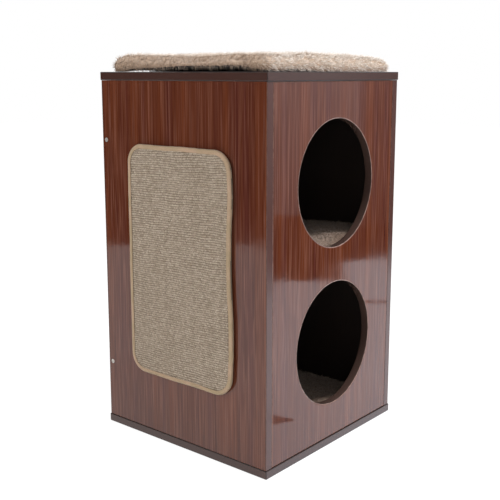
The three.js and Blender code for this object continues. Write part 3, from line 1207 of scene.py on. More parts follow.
@dataclass
class Cushions:
    """The three plush pads: stuffed cloth shapes with a short thick pile.

    Attributes:
        voxel: size of the net that the cloth is simulated on.
        pressure: how hard the stuffing swells it.
        frames: how long it swells.
        swell: how far any point may move while it swells.
        clearance: gap between a pad's edge and its solid's.
        corner: radius of a pad's corners, seen from above.
        strand_radius: radius of a strand at its root.
        tufts: tufts that the strands gather into, in a square metre.
        nap: which way the pile is combed, which the strands lean along.
        shine: how much paler the pile is painted on faces that look along the nap, and darker on faces
            against it, as painted light and shade.
        skirt: how far from the middle the fringe under a cushion's edge starts.
        clumps: how many clumps of the fringe there are to a metre.
        rounding_steps: flats in each rounding of a cushion's bag.
        wide: waves to a metre of the broad lumps.
        wide_move: how far they lift the top.
        small: waves to a metre of the small lumps.
        small_move: how far they move the cloth.
    """

    voxel: float = 0.005
    pressure: float = 4.0
    frames: int = 20
    swell: float = 0.007
    clearance: float = -0.002
    corner: float = 0.019
    strand_radius: float = 0.00042
    tufts: float = 9000.0
    nap: Point = (0.3, -0.45, 0.0)
    shine: float = 2.0
    skirt: float = 0.177
    clumps: float = 190.0
    rounding_steps: int = 6
    wide: float = 12.0
    wide_move: float = 0.0022
    small: float = 80.0
    small_move: float = 0.0011

    PADS = (
        Pad(
            "roof_cushion_pad", "top_cushion", 1, 0.6853,
            dents(
                1.0, (-0.185, 0.185, 0.05, 0.0005), (-0.185, 0.1, 0.05, -0.0005),
                (-0.185, 0.0, 0.07, -0.004), (-0.17, -0.17, 0.05, -0.001), (-0.1, -0.185, 0.05, -0.0015),
                (0.0, -0.185, 0.05, 0.0015), (0.15, -0.185, 0.05, -0.0045), (0.0, 0.0, 0.2, -0.004),
                (0.0, 0.02, 0.09, 0.004),
            )
            + (
                Dent(0.19, -0.19, 0.08, 0.006, 1.0, (1.0, -0.2, 0.0)),
                Dent(0.19, -0.19, 0.08, 0.006, 0.0, (1.0, -0.2, 0.0)),
            )
            + dents(
                0.0, (-0.19, -0.02, 0.09, 0.005), (-0.195, -0.12, 0.04, 0.004),
                (-0.18, -0.2, 0.035, -0.004), (-0.19, 0.18, 0.04, -0.005), (0.06, -0.19, 0.15, -0.005),
                (0.19, -0.05, 0.14, -0.004), (0.0, -0.1, 0.08, -0.004), (0.0, 0.0, 0.08, -0.004),
                (0.0, 0.1, 0.08, -0.004), (-0.03, 0.17, 0.04, -0.004),
            ),
            body="roof_cushion", finish="beige_plush", thickness=0.019, rim=0.0095, foot=0.005,
            proud=0.004, facing=-0.8, fringe=0.46, pile=0.0085, density=165000.0,
        ),
        Pad(
            "upper_den_pad", "upper_den_cushion", 2, 0.3502,
            dents(1.0, (0.02, 0.02, 0.12, -0.004), (-0.1, -0.12, 0.05, 0.002), (0.17, -0.11, 0.07, 0.005)),
        ),
        Pad(
            "lower_den_pad", "lower_den_cushion", 3, 0.0152,
            dents(1.0, (-0.05, 0.03, 0.12, -0.004), (0.17, -0.06, 0.11, 0.006)),
        ),
    )

    def make_pile(self) -> Recipe:
        """Builds the recipe for the pile: strands that lean together into tufts.

        Returns:
            The plan, which gives the cloth under it the same material.
        """
        inputs = {
            "Geometry": GEOMETRY, "Strands": 1000.0, "Tufts": 100.0, "Length": 0.01,
            "Radius": 0.0004, "Gather": 0.6, "Wild": 0.35, "Droop": 0.4, "Nap": (0.0, 0.0, 0.0),
            "Shine": 1.0, "Facing": 0.0, "Skirt": 0.16, "Fringe": 0.0, "Clumps": 200.0,
            "Low": (-1.0, -1.0, -1.0), "High": (1.0, 1.0, 1.0), "Seed": 1, "Material": MATERIAL,
        }
        plan = Recipe("plush_pile", inputs)
        given = plan.given
        normal = plan.one("GeometryNodeInputNormal")
        upward = plan.add("ShaderNodeSeparateXYZ", {0: normal}).outputs["Z"]
        chosen = plan.math("GREATER_THAN", upward, given["Facing"])
        spread = "GeometryNodeDistributePointsOnFaces"
        tuft_seed = plan.math("ADD", given["Seed"], 7.0)
        feeds = {"Mesh": given["Geometry"], "Density": given["Tufts"], "Seed": tuft_seed}
        middles = plan.add(spread, feeds).outputs["Points"]
        place = plan.one("GeometryNodeInputPosition")
        nearest = plan.add("GeometryNodeSampleNearest", {"Geometry": middles}).outputs["Index"]
        feeds = {"Geometry": middles, "Value": place, "Index": nearest}
        sample = plan.one("GeometryNodeSampleIndex", feeds, data_type="FLOAT_VECTOR")
        pull = plan.vector("SUBTRACT", sample, place)
        spacing = plan.math("DIVIDE", 1.0, plan.math("SQRT", given["Tufts"]))
        gathered = plan.scale(pull, plan.math("DIVIDE", given["Gather"], spacing))
        off = plan.add("ShaderNodeSeparateXYZ", {0: plan.vector("ABSOLUTE", place)}).outputs
        outer = plan.math("GREATER_THAN", plan.math("MAXIMUM", off["X"], off["Y"]), given["Skirt"])
        clumped = plan.math("LESS_THAN", plan.noise(place, given["Clumps"]), given["Fringe"])
        thick = plan.math("MAXIMUM", chosen, plan.times(outer, clumped))
        strands = plan.times(given["Strands"], thick)
        roots = plan.add(spread, {"Mesh": given["Geometry"], "Density": strands, "Seed": given["Seed"]})
        wild = plan.scatter((-1.0, -1.0, -1.0), (1.0, 1.0, 1.0), given["Seed"])
        down = plan.point(z=plan.times(given["Droop"], -1.0))
        way = plan.vector("ADD", roots.outputs["Normal"], gathered)
        way = plan.vector("ADD", way, plan.scale(wild, given["Wild"]))
        way = plan.vector("ADD", plan.vector("ADD", way, down), given["Nap"])
        aimed = plan.one("FunctionNodeAlignRotationToVector", {"Vector": way}, axis="Z")
        spin = plan.chance(0.0, 2 * math.pi, 3)
        feeds = {"Axis": (0.0, 0.0, 1.0), "Angle": spin}
        twist = plan.one("FunctionNodeAxisAngleToRotation", feeds)
        feeds = {"Rotation": aimed, "Rotate By": twist}
        turned = plan.one("FunctionNodeRotateRotation", feeds, rotation_space="LOCAL")
        feeds = {
            "Vertices": 3, "Side Segments": 2, "Radius Top": 0.0, "Radius Bottom": 1.0, "Depth": 1.0,
        }
        cone = plan.add("GeometryNodeMeshCone", feeds).outputs["Mesh"]
        height = plan.add("ShaderNodeSeparateXYZ", {0: place}).outputs["Z"]
        bend = 5.0
        curl = plan.times(plan.times(height, height), bend)
        marked = plan.mark(cone, TIP, height, "POINT")
        feeds = {"Geometry": marked, "Offset": plan.point(curl)}
        strand = plan.one("GeometryNodeSetPosition", feeds)
        shortest, longest = 0.65, 1.15
        tall = plan.times(given["Length"], plan.chance(shortest, longest, 11))
        size = plan.point(given["Radius"], given["Radius"], tall)
        feeds = {
            "Points": roots.outputs["Points"], "Instance": strand, "Rotation": turned, "Scale": size,
        }
        planted = plan.one("GeometryNodeInstanceOnPoints", feeds)
        # Painted side light: each strand's tone is shifted by how squarely its root's normal looks along the
        # nap.
        feeds = {0: roots.outputs["Normal"], 1: given["Nap"]}
        along = plan.add("ShaderNodeVectorMath", feeds, operation="DOT_PRODUCT").outputs["Value"]
        darkest, lightest, tuft_share = 0.08, 0.45, 0.35
        strand_tone = plan.chance(darkest, lightest, 5)
        own = plan.math("ADD", strand_tone, plan.chance(0.0, tuft_share, 6, nearest))
        lit = plan.times(along, given["Shine"])
        noted = plan.mark(roots.outputs["Points"], "brushed", lit, "POINT")
        plan.tree.links.new(noted, planted.node.inputs["Points"])
        feeds = {"Name": "brushed"}
        brushed = plan.one("GeometryNodeInputNamedAttribute", feeds, data_type="FLOAT")
        toned = plan.mark(planted, TONE, plan.math("ADD", own, brushed), "INSTANCE")
        # Cloth faces that look steeply down are marked with a tip of -1, which the plush colours near-black.
        underside = -0.6
        below = plan.times(plan.math("LESS_THAN", upward, underside), -1.0)
        cloth = plan.mark(given["Geometry"], TIP, below, "POINT")
        joined = plan.add("GeometryNodeJoinGeometry")
        plan.tree.links.new(toned, joined.inputs[0])
        plan.tree.links.new(cloth, joined.inputs[0])
        real = plan.one("GeometryNodeRealizeInstances", {"Geometry": joined.outputs[0]})
        kept = plan.vector("MINIMUM", plan.vector("MAXIMUM", place, given["Low"]), given["High"])
        held = plan.one("GeometryNodeSetPosition", {"Geometry": real, "Position": kept})
        rounded = plan.one("GeometryNodeSetShadeSmooth", {"Geometry": held})
        plan.finish_shape(rounded, given["Material"])
        return plan

    def stuff(self, cushion: Piece) -> None:
        """Swells a cushion as cloth under pressure, each point by no more than the swell.

        Args:
            cushion: the piece, whose mesh is moved.
        """
        scene = bpy.context.scene
        start = [vertex.co.copy() for vertex in cushion.data.vertices]
        cloth = cushion.modifiers.new("stuffing", "CLOTH")
        cloth.settings.use_pressure = True
        cloth.settings.uniform_pressure_force = self.pressure
        cloth.settings.effector_weights.gravity = 0.0
        cloth.point_cache.frame_start = 1
        cloth.point_cache.frame_end = self.frames
        for step in range(1, self.frames + 1):
            scene.frame_set(step)
        graph = bpy.context.evaluated_depsgraph_get()
        swollen = [vertex.co.copy() for vertex in cushion.evaluated_get(graph).data.vertices]
        cushion.modifiers.remove(cloth)
        scene.frame_set(1)
        for vertex, before, after in zip(cushion.data.vertices, start, swollen):
            move = after - before
            if move.length > self.swell:
                move.length = self.swell
            vertex.co = before + move

    def blank(self, pad: Pad) -> Mesh:
        """Makes the flat bag that a cushion is stuffed from, with rounded corners and rim.

        Args:
            pad: which cushion.

        Returns:
            The bag.
        """
        low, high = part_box(pad.node)
        wide, deep = high.x - low.x - 2 * self.clearance, high.y - low.y - 2 * self.clearance
        middle = Vector(((low.x + high.x) / 2, (low.y + high.y) / 2, low.z + pad.thickness / 2))
        shape = bmesh.new()
        size = Matrix.Translation(middle) @ Matrix.Diagonal((wide, deep, pad.thickness, 1.0))
        bmesh.ops.create_cube(shape, size=1.0, matrix=size)
        upright = [edge for edge in shape.edges if self.stands(edge)]
        half = pad.thickness / 2
        round_edges(shape, upright, self.corner, self.rounding_steps)
        for radius, end in ((pad.rim, middle.z + half), (pad.foot, middle.z - half)):
            edges = [e for e in shape.edges if all(abs(v.co.z - end) < MERGE for v in e.verts)]
            round_edges(shape, edges, radius, self.rounding_steps)
            shape.normal_update()
        return to_mesh(shape, pad.name + "_blank", ())

    @staticmethod
    def stands(edge: Edge) -> bool:
        """Tells whether an edge runs straight up."""
        first, second = (vertex.co for vertex in edge.verts)
        return (first - second).xy.length < MERGE

    def form(self, pad: Pad) -> Mesh:
        """Makes a cushion's cloth: remeshed, stuffed, subdivided once, then dented.

        Args:
            pad: which cushion.

        Returns:
            The cloth's mesh.
        """
        cushion = bpy.data.objects.new(pad.name + "_cloth", self.blank(pad))
        show(cushion)
        net = cushion.modifiers.new("net", "REMESH")
        net.mode = "VOXEL"
        net.voxel_size = self.voxel
        self.apply(cushion)
        self.stuff(cushion)
        fine = cushion.modifiers.new("fine", "SUBSURF")
        fine.levels = 1
        fine.render_levels = 1
        self.apply(cushion)
        self.settle(cushion.data, pad)
        mesh = cushion.data
        bpy.data.objects.remove(cushion)
        return mesh

    @staticmethod
    def apply(piece: Piece) -> None:
        """Makes a piece's modifiers part of its mesh.

        Args:
            piece: the piece.
        """
        graph = bpy.context.evaluated_depsgraph_get()
        mesh = bpy.data.meshes.new_from_object(piece.evaluated_get(graph), depsgraph=graph)
        piece.modifiers.clear()
        piece.data = mesh

    def settle(self, mesh: Mesh, pad: Pad) -> None:
        """Lays the cloth on its floor and gives it its dents, lumps and creases.

        Args:
            mesh: the cloth.
            pad: which cushion.
        """
        low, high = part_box(pad.node)
        normals = [vertex.normal.copy() for vertex in mesh.vertices]
        places: list[float] = []
        for vertex, normal in zip(mesh.vertices, normals):
            spot = vertex.co + normal * self.small_move * noise.noise(vertex.co * self.small)
            up = min(1.0, max(0.0, (spot.z - low.z) / pad.thickness))
            flat = Vector((spot.x, spot.y, 0.0))
            spot.z = max(low.z, spot.z) + up * self.wide_move * noise.noise(flat * self.wide)
            for dent in pad.dents:
                near = math.exp(-((flat.x - dent.x) ** 2 + (flat.y - dent.y) ** 2) / dent.reach**2)
                share = up if dent.top > 0.5 else 1 - up
                spot += Vector(dent.way) * dent.rise * near * share
            spot.z = max(pad.floor, spot.z)
            proud = pad.proud
            spot.x = min(high.x + proud, max(low.x - proud, spot.x))
            spot.y = min(high.y + proud, max(low.y - proud, spot.y))
            places.extend((spot.x, spot.y, min(high.z, spot.z)))
        mesh.vertices.foreach_set("co", places)
        mesh.update()

    def build(self, workshop: Workshop) -> None:
        """Makes the three cushions.

        Args:
            workshop: the finishes.
        """
        plan = self.make_pile()
        for pad in self.PADS:
            beyond = pad.pile
            low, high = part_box(pad.node)
            least = Vector((low.x - beyond, low.y - beyond, pad.floor))
            most = Vector((high.x + beyond, high.y + beyond, high.z))
            if pad.body == "house":
                room_low, room_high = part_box("middle_shelf")
                least = Vector((room_low.x, room_low.y, pad.floor))
                most = Vector((room_high.x, room_high.y, high.z))
            mesh = plan.grow(
                pad.name, self.form(pad), strands=pad.density, tufts=self.tufts, length=pad.pile,
                radius=self.strand_radius, nap=self.nap, shine=self.shine, facing=pad.facing,
                fringe=pad.fringe, skirt=self.skirt, clumps=self.clumps, low=least, high=most,
                seed=pad.seed, material=workshop[pad.finish],
            )
            add_piece(pad.name, mesh, pad.body, [pad.node])


@dataclass
class BackScrews:
    """The four screws whose heads show near the side walls' rear edges.

    Attributes:
        rounding: radius that takes the sharpness off their edges.
        steps: flats in that rounding.
        bend: how sharp an edge has to be to be rounded.
    """

    rounding: float = 0.00018
    steps: int = 2
    bend: float = math.radians(28)

    NODES = ("back_panel_lower_left_screw", "back_panel_upper_left_screw",
             "back_panel_lower_right_screw", "back_panel_upper_right_screw")

    def make_rows(self) -> Recipe:
        """Builds the recipe that sets a screw at each point, its point turned inwards.

        Returns:
            The plan.
        """
        inputs = {
            "Geometry": GEOMETRY, "Screw": "NodeSocketObject", "Seed": 1,
            "Material": MATERIAL,
        }
        plan = Recipe("screw_rows", inputs)
        given = plan.given
        screw = plan.add("GeometryNodeObjectInfo", {"Object": given["Screw"]}).outputs["Geometry"]
        place = plan.one("GeometryNodeInputPosition")
        side = plan.add("ShaderNodeSeparateXYZ", {0: place}).outputs["X"]
        half_turn = plan.times(plan.math("GREATER_THAN", side, 0.0), math.pi)
        turn = plan.point(plan.chance(-0.7, 0.7, 3), z=half_turn)
        feeds = {"Points": given["Geometry"], "Instance": screw, "Rotation": turn}
        plan.finish_shape(plan.add("GeometryNodeInstanceOnPoints", feeds).outputs[0], given["Material"])
        return plan

    def build(self, workshop: Workshop) -> None:
        """Softens one screw's solid and sets it in the four places.

        Args:
            workshop: the finishes.
        """
        first_low, first_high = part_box(self.NODES[0])
        shape = merged_copy(self.NODES[0])
        middle = (first_low + first_high) / 2
        home = Vector((first_low.x, middle.y, middle.z))
        bmesh.ops.translate(shape, verts=shape.verts, vec=-home)
        edges = [e for e in shape.edges if e.is_manifold and e.calc_face_angle() > self.bend]
        round_edges(shape, edges, self.rounding, self.steps, True)
        model = bpy.data.objects.new("screw_model", smooth(to_mesh(shape, "screw_model", ())))
        places = []
        for node in self.NODES:
            low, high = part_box(node)
            middle = (low + high) / 2
            places.append((low.x if middle.x < 0 else high.x, middle.y, middle.z))
        points = bpy.data.meshes.new("screw_places")
        points.from_pydata(places, [], [])
        mesh = self.make_rows().grow("screws", points, screw=model, material=workshop["plated_steel"])
        bpy.data.objects.remove(model)
        add_piece("back_panel_screws", mesh, "house", self.NODES)


@dataclass
class ScratchPad:
    """The sisal pad on the left wall: ground cloth, woven yarn, taped edge and stitches.

    It is laid out flat, x to the front, y up and z away from the wall, and then hung in place.

    Attributes:
        row_pitch: from one row of yarn to the next.
        column_pitch: from one hump of a row to the next.
        yarn_length: length of a hump.
        yarn_width: its width.
        yarn_rise: how far it stands up.
        row_slope: how far the rows climb, as a share of their run.
        wobble: how far the rows wander.
        stray: how far a hump lies out of its row.
        sunk_share: how much of a hump is sunk in the ground cloth.
        corner: radius of the pad's corners.
        tape_width: width of the binding on either face.
        tape_thickness: thickness of its cloth.
        tape_wave: how far its inner edge wanders.
        tape_lift: how far it ripples off the wall.
        stitch_inset: from the edge to the seam.
        stitch_spacing: from one stitch to the next.
        stitch_length: length of a stitch.
        stitch_thickness: its thickness.
        stitch_sunk: how far the seam lies under the binding's faces.
        corner_steps: flats in a corner.
        path_step: from one point of a straight side to the next.
        slack: how far the front side has worked loose.
        tuck: how far the yarn runs under the binding.
    """

    row_pitch: float = 0.0041
    column_pitch: float = 0.0044
    yarn_length: float = 0.0068
    yarn_width: float = 0.0044
    yarn_rise: float = 0.0012
    row_slope: float = 0.03
    wobble: float = 0.0014
    stray: float = 0.0003
    sunk_share: float = 0.7
    corner: float = 0.036
    tape_width: float = 0.008
    tape_thickness: float = 0.0008
    tape_wave: float = 0.0014
    tape_lift: float = 0.0002
    stitch_inset: float = 0.0058
    stitch_spacing: float = 0.0042
    stitch_length: float = 0.0029
    stitch_thickness: float = 0.0005
    stitch_sunk: float = 0.0002
    corner_steps: int = 10
    path_step: float = 0.004
    slack: float = 0.0016
    tuck: float = 0.0015

    BULGES = ((0.14, 0.004, 0.045), (-0.11, 0.0052, 0.08))

    def __post_init__(self) -> None:
        """Reads the pad's place and size off its solids."""
        low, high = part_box("scratch_mat_binding")
        self.width = high.y - low.y
        self.height = high.z - low.z
        self.thickness = high.x - low.x
        mat_low, mat_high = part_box("scratch_mat")
        self.mat_back = high.x - mat_high.x
        self.mat_front = high.x - mat_low.x
        self.mat_width = mat_high.y - mat_low.y
        self.mat_height = mat_high.z - mat_low.z
        middle = (low + high) / 2
        turn = Matrix(((0, 0, -1), (-1, 0, 0), (0, 1, 0))).to_4x4()
        self.hang = Matrix.Translation((high.x, middle.y, middle.z)) @ turn

    def bulged(self, spot: Vector) -> Vector:
        """Moves a point of the edge out where the pad's front side has worked loose.

        Args:
            spot: the point on the plain edge.

        Returns:
            Where the point lies on the slack one.
        """
        bulges = (rise * math.exp(-((spot.y - y) / reach) ** 2) for y, rise, reach in self.BULGES)
        push = self.slack + sum(bulges)
        share = max(0.0, 2 * spot.x / self.width) ** 4
        return spot + Vector((push * share, 0.0, 0.0))

    def outline(self, inset: float) -> list[tuple[Vector, Vector, float]]:
        """Walks round the pad's rounded edge.

        Args:
            inset: how far inside the edge the walk goes.

        Returns:
            For each point its place, the way inwards and the distance walked.
        """
        half = Vector((self.width / 2 - self.corner, self.height / 2 - self.corner))
        radius = self.corner - inset
        points: list[tuple[Vector, Vector]] = []
        for quarter, (sx, sy) in enumerate(((1, 1), (-1, 1), (-1, -1), (1, -1))):
            middle = Vector((half.x * sx, half.y * sy, 0.0))
            for step in range(self.corner_steps + 1):
                angle = math.pi / 2 * (quarter + step / self.corner_steps)
                way = Vector((math.cos(angle), math.sin(angle), 0.0))
                points.append((middle + way * radius, -way))
            next_x, next_y = ((-1, 1), (-1, -1), (1, -1), (1, 1))[quarter]
            start, inwards = points[-1]
            goal = Vector((half.x * next_x, half.y * next_y, 0.0)) - inwards * radius
            run = goal - start
            count = int(run.length / self.path_step)
            points.extend((start + run * (k / count), inwards) for k in range(1, count))
        walked, walk = 0.0, []
        points = [(self.bulged(spot), inwards) for spot, inwards in points]
        for number, (spot, inwards) in enumerate(points):
            walked += (spot - points[number - 1][0]).length if number else 0.0
            walk.append((spot, inwards, walked))
        return walk

    def ground(self, material: Material) -> Mesh:
        """Makes the ground cloth that the yarn stands on, a thin rounded plate.

        Args:
            material: its finish.

        Returns:
            The plate.
        """
        shape = bmesh.new()
        edge_gap = (self.width - self.mat_width) / 2
        rim = [spot for spot, _, _ in self.outline(edge_gap)]
        front = self.mat_front - self.yarn_rise * self.sunk_share
        rings = [[shape.verts.new((p.x, p.y, z)) for p in rim] for z in (self.mat_back, front)]
        count = len(rim)
        for k in range(count):
            after = (k + 1) % count
            shape.faces.new((rings[0][k], rings[0][after], rings[1][after], rings[1][k]))
        shape.faces.new(list(reversed(rings[0])))
        shape.faces.new(rings[1])
        bmesh.ops.triangulate(shape, faces=[f for f in shape.faces if len(f.verts) > 4])
        return to_mesh(shape, "ground", (material,))

    def make_weave(self) -> Recipe:
        """Builds the recipe for the weave: staggered rows of short fat yarn humps.

        Returns:
            The plan.
        """
        inputs = {
            "Width": 0.2, "Height": 0.4, "Corner": 0.02, "Row Pitch": 0.007, "Column Pitch": 0.005,
            "Yarn": (0.003, 0.003, 0.001), "Slope": 0.03, "Wobble": 0.001, "Stray": 0.0005, "Seed": 1,
            "Material": MATERIAL,
        }
        plan = Recipe("sisal_weave", inputs)
        given = plan.given

        def tally(side: str, pitch: str) -> tuple[Socket, Socket]:
            """Counts the places along a side.

            Args:
                side: the side.
                pitch: from one place to the next.

            Returns:
                How many there are and the length that they take.
            """
            fits = plan.math("FLOOR", plan.math("DIVIDE", given[side], given[pitch]))
            count = plan.math("ADD", fits, 3.0)
            return count, plan.times(plan.math("SUBTRACT", count, 1.0), given[pitch])

        columns, long = tally("Width", "Column Pitch")
        rows, tall = tally("Height", "Row Pitch")
        feeds = {"Size X": long, "Size Y": tall, "Vertices X": columns, "Vertices Y": rows}
        grid = plan.add("GeometryNodeMeshGrid", feeds).outputs["Mesh"]
        place = plan.one("GeometryNodeInputPosition")
        split = plan.add("ShaderNodeSeparateXYZ", {0: place})
        risen = plan.math("ADD", split.outputs["Y"], tall)
        row = plan.math("ROUND", plan.math("DIVIDE", risen, given["Row Pitch"]))
        odd = plan.math("MODULO", row, 2.0)
        stagger = plan.times(plan.times(odd, given["Column Pitch"]), 0.5)
        lean = plan.times(split.outputs["X"], given["Slope"])
        wave_scale = 22.0
        wave = plan.noise(place, wave_scale, 1.0, 1)
        centred = plan.vector("SUBTRACT", wave, (0.5, 0.5, 0.5))
        sway = plan.scale(centred, plan.times(given["Wobble"], 4.0))
        flat_sway = plan.vector("MULTIPLY", sway, (1.0, 1.0, 0.0))
        stray = plan.scale(plan.scatter((-1.5, -0.7, 0.0), (1.5, 0.7, 0.0), 6), given["Stray"])
        shift = plan.vector("ADD", plan.point(stagger, lean), stray)
        feeds = {"Geometry": grid, "Offset": plan.vector("ADD", shift, flat_sway)}
        moved = plan.add("GeometryNodeSetPosition", feeds)
        size = plan.point(given["Width"], given["Height"])
        rounding = plan.point(given["Corner"], given["Corner"])
        core = plan.vector("SUBTRACT", plan.scale(size, 0.5), rounding)
        off = plan.vector("SUBTRACT", plan.vector("ABSOLUTE", place), core)
        beyond = plan.vector("MAXIMUM", off, (0, 0, 0))
        reach = plan.add("ShaderNodeVectorMath", {0: beyond}, operation="LENGTH").outputs["Value"]
        outside = plan.math("GREATER_THAN", reach, given["Corner"])
        feeds = {"Geometry": moved.outputs[0], "Selection": outside}
        kept = plan.add("GeometryNodeDeleteGeometry", feeds)
        hump = plan.bead(3, given["Yarn"])
        tilt_end = math.radians(9)
        turned = plan.point(z=plan.chance(-tilt_end / 2, tilt_end, given["Seed"]))
        sizes = plan.scatter((0.8, 0.86, 0.7), (1.15, 1.06, 1.15), 2)
        feeds = {"Points": kept.outputs[0], "Instance": hump, "Rotation": turned, "Scale": sizes}
        laid = plan.one("GeometryNodeInstanceOnPoints", feeds)
        upright = plan.vector("MULTIPLY", place, (1.0, 0.05, 0.0))
        warp_scale, warp_share = 60.0, 0.7
        centred = plan.math("SUBTRACT", plan.noise(upright, warp_scale), 0.5)
        warp = plan.times(centred, warp_share)
        tone = plan.math("ADD", plan.chance(0.0, 1.0, 4), warp)
        toned = plan.mark(laid, TONE, tone, "INSTANCE")
        rounded = plan.one("GeometryNodeSetShadeSmooth", {"Geometry": toned})
        plan.finish_shape(rounded, given["Material"])
        return plan

    def tape_section(self) -> list[tuple[float, float]]:
        """Gives the tape's section, as pairs of distance in from the edge and height off the wall.

        Returns:
            The pairs, in order round the section.
        """
        nose = self.thickness / 2
        steps = 7
        dip = 0.0003
        arc = [
            (nose - nose * math.sin(math.pi * k / steps), nose - nose * math.cos(math.pi * k / steps))
            for k in range(steps + 1)
        ]
        near, far = self.stitch_inset - dip * 3, self.stitch_inset + dip * 3
        back = [(self.tape_width, dip), (far, 0.0), (self.stitch_inset, dip), (near, 0.0)]
        front = [(inset, self.thickness - height) for inset, height in reversed(back)]
        outside = back + arc + front
        wall = self.tape_thickness
        inner_nose = nose - wall
        inside = [
            (self.tape_width, self.thickness - dip - wall),
            (nose + wall, self.thickness - wall),
            (nose - inner_nose / 2, nose + inner_nose * 0.85),
            (wall, nose),
            (nose - inner_nose / 2, nose - inner_nose * 0.85),
            (nose + wall, wall),
            (self.tape_width, dip + wall),
        ]
        return outside + inside

    def tape(self, material: Material) -> Mesh:
        """Sweeps the tape round the edge, with a slight wave and its own UV map.

        Args:
            material: its finish.

        Returns:
            The tape.
        """
        shape = bmesh.new()
        chart = shape.loops.layers.uv.new("tape")
        section = self.tape_section()
        walk = self.outline(0.0)
        whole = walk[-1][2] + self.path_step
        rounds = []
        slow_turns, quick_turns, quick_share, least = 3.1, 14.0, 0.35, 0.6
        for spot, inwards, walked in walk:
            angle = 2 * math.pi * walked / whole
            loop = Vector((math.cos(angle), math.sin(angle), 0.0))
            slow, quick = noise.noise(loop * slow_turns), noise.noise(loop * quick_turns)
            wave = self.tape_wave * (slow + quick_share * quick + least)
            lift = self.tape_lift * quick
            rounds.append([
                shape.verts.new(spot + inwards * (a + wave) + Vector((0, 0, h + lift))) for a, h in section
            ])
        spans = [0.0]
        for (a, h), (b, g) in zip(section, section[1:] + section[:1]):
            spans.append(spans[-1] + math.hypot(b - a, g - h))
        count = len(section)
        for number, (here, there) in enumerate(zip(rounds, rounds[1:] + rounds[:1])):
            start = walk[number][2]
            end = walk[number + 1][2] if number + 1 < len(walk) else whole
            for k in range(count):
                after = (k + 1) % count
                face = shape.faces.new((here[k], there[k], there[after], here[after]))
                for loop, spot in zip(face.loops, ((start, k), (end, k), (end, k + 1), (start, k + 1))):
                    loop[chart].uv = (spot[0], spans[spot[1]])
        bmesh.ops.recalc_face_normals(shape, faces=shape.faces)
        return smooth(to_mesh(shape, "tape", (material,)))

    def make_stitches(self) -> Recipe:
        """Builds the recipe that sets short stitches along the seam loops.

        Returns:
            The plan.
        """
        inputs = {
            "Geometry": GEOMETRY, "Spacing": 0.004, "Stitch": (0.0015, 0.0003, 0.0003),
            "Material": MATERIAL,
        }
        plan = Recipe("seam_stitches", inputs)
        given = plan.given
        curve = plan.one("GeometryNodeMeshToCurve", {"Mesh": given["Geometry"]})
        feeds = {"Curve": curve, "Length": given["Spacing"]}
        even = plan.add("GeometryNodeResampleCurve", feeds, mode="LENGTH")
        tangent = plan.one("GeometryNodeInputTangent")
        aimed = plan.one("FunctionNodeAlignRotationToVector", {"Vector": tangent}, axis="X")
        stitch = plan.bead(4, given["Stitch"])
        feeds = {"Points": even.outputs[0], "Instance": stitch, "Rotation": aimed}
        laid = plan.one("GeometryNodeInstanceOnPoints", feeds)
        rounded = plan.one("GeometryNodeSetShadeSmooth", {"Geometry": laid})
        plan.finish_shape(rounded, given["Material"])
        return plan

    def seams(self) -> Mesh:
        """Makes the two loops, front and back, that the stitches follow.

        Returns:
            The loops.
        """
        mesh = bpy.data.meshes.new("seams")
        walk = [spot for spot, _, _ in self.outline(self.stitch_inset + self.tape_wave)]
        count = len(walk)
        points, edges = [], []
        for height in (self.stitch_sunk, self.thickness - self.stitch_sunk):
            first = len(points)
            points.extend((p.x, p.y, height) for p in walk)
            edges.extend((first + k, first + (k + 1) % count) for k in range(count))
        mesh.from_pydata(points, edges, [])
        return mesh

    def build(self, workshop: Workshop) -> None:
        """Makes the pad's pieces and hangs them.

        Args:
            workshop: the finishes.
        """
        ground = self.ground(workshop["sisal_ground"])
        inset = self.tape_width - self.tuck
        yarn = (self.yarn_length / 2, self.yarn_width / 2, self.yarn_rise)
        weave = self.make_weave().grow(
            "weave", None, width=self.width - 2 * inset + self.slack, height=self.height - 2 * inset,
            corner=self.corner - inset, row_pitch=self.row_pitch, column_pitch=self.column_pitch,
            yarn=yarn, slope=self.row_slope, wobble=self.wobble, stray=self.stray, seed=21,
            material=workshop["sisal_yarn"],
        )
        weave.transform(Matrix.Translation((self.slack / 2, 0, self.mat_front - self.yarn_rise)))
        tape = self.tape(workshop["binding_tape"])
        half = (self.stitch_length / 2, self.stitch_thickness / 2, self.stitch_thickness / 2)
        thread = self.make_stitches().grow(
            "thread", self.seams(), spacing=self.stitch_spacing, stitch=half,
            material=workshop["binding_thread"],
        )
        rows = (
            ("mat_ground_cloth", ground, "sisal", ["scratch_mat"]),
            ("mat_weave", weave, "sisal", []),
            ("mat_binding", tape, "binding_tape", ["scratch_mat_binding"]),
            ("mat_binding_stitches", thread, "binding_tape", []),
        )
        for name, mesh, slot, stands_for in rows:
            mesh.transform(self.hang)
            add_piece(name, mesh, "scratching_pad", stands_for)


class Catch(Enum):
    """The two halves of hook-and-loop tape, as the sweep of their little arcs."""

    HOOKS = math.radians(235)
    LOOPS = math.radians(180)


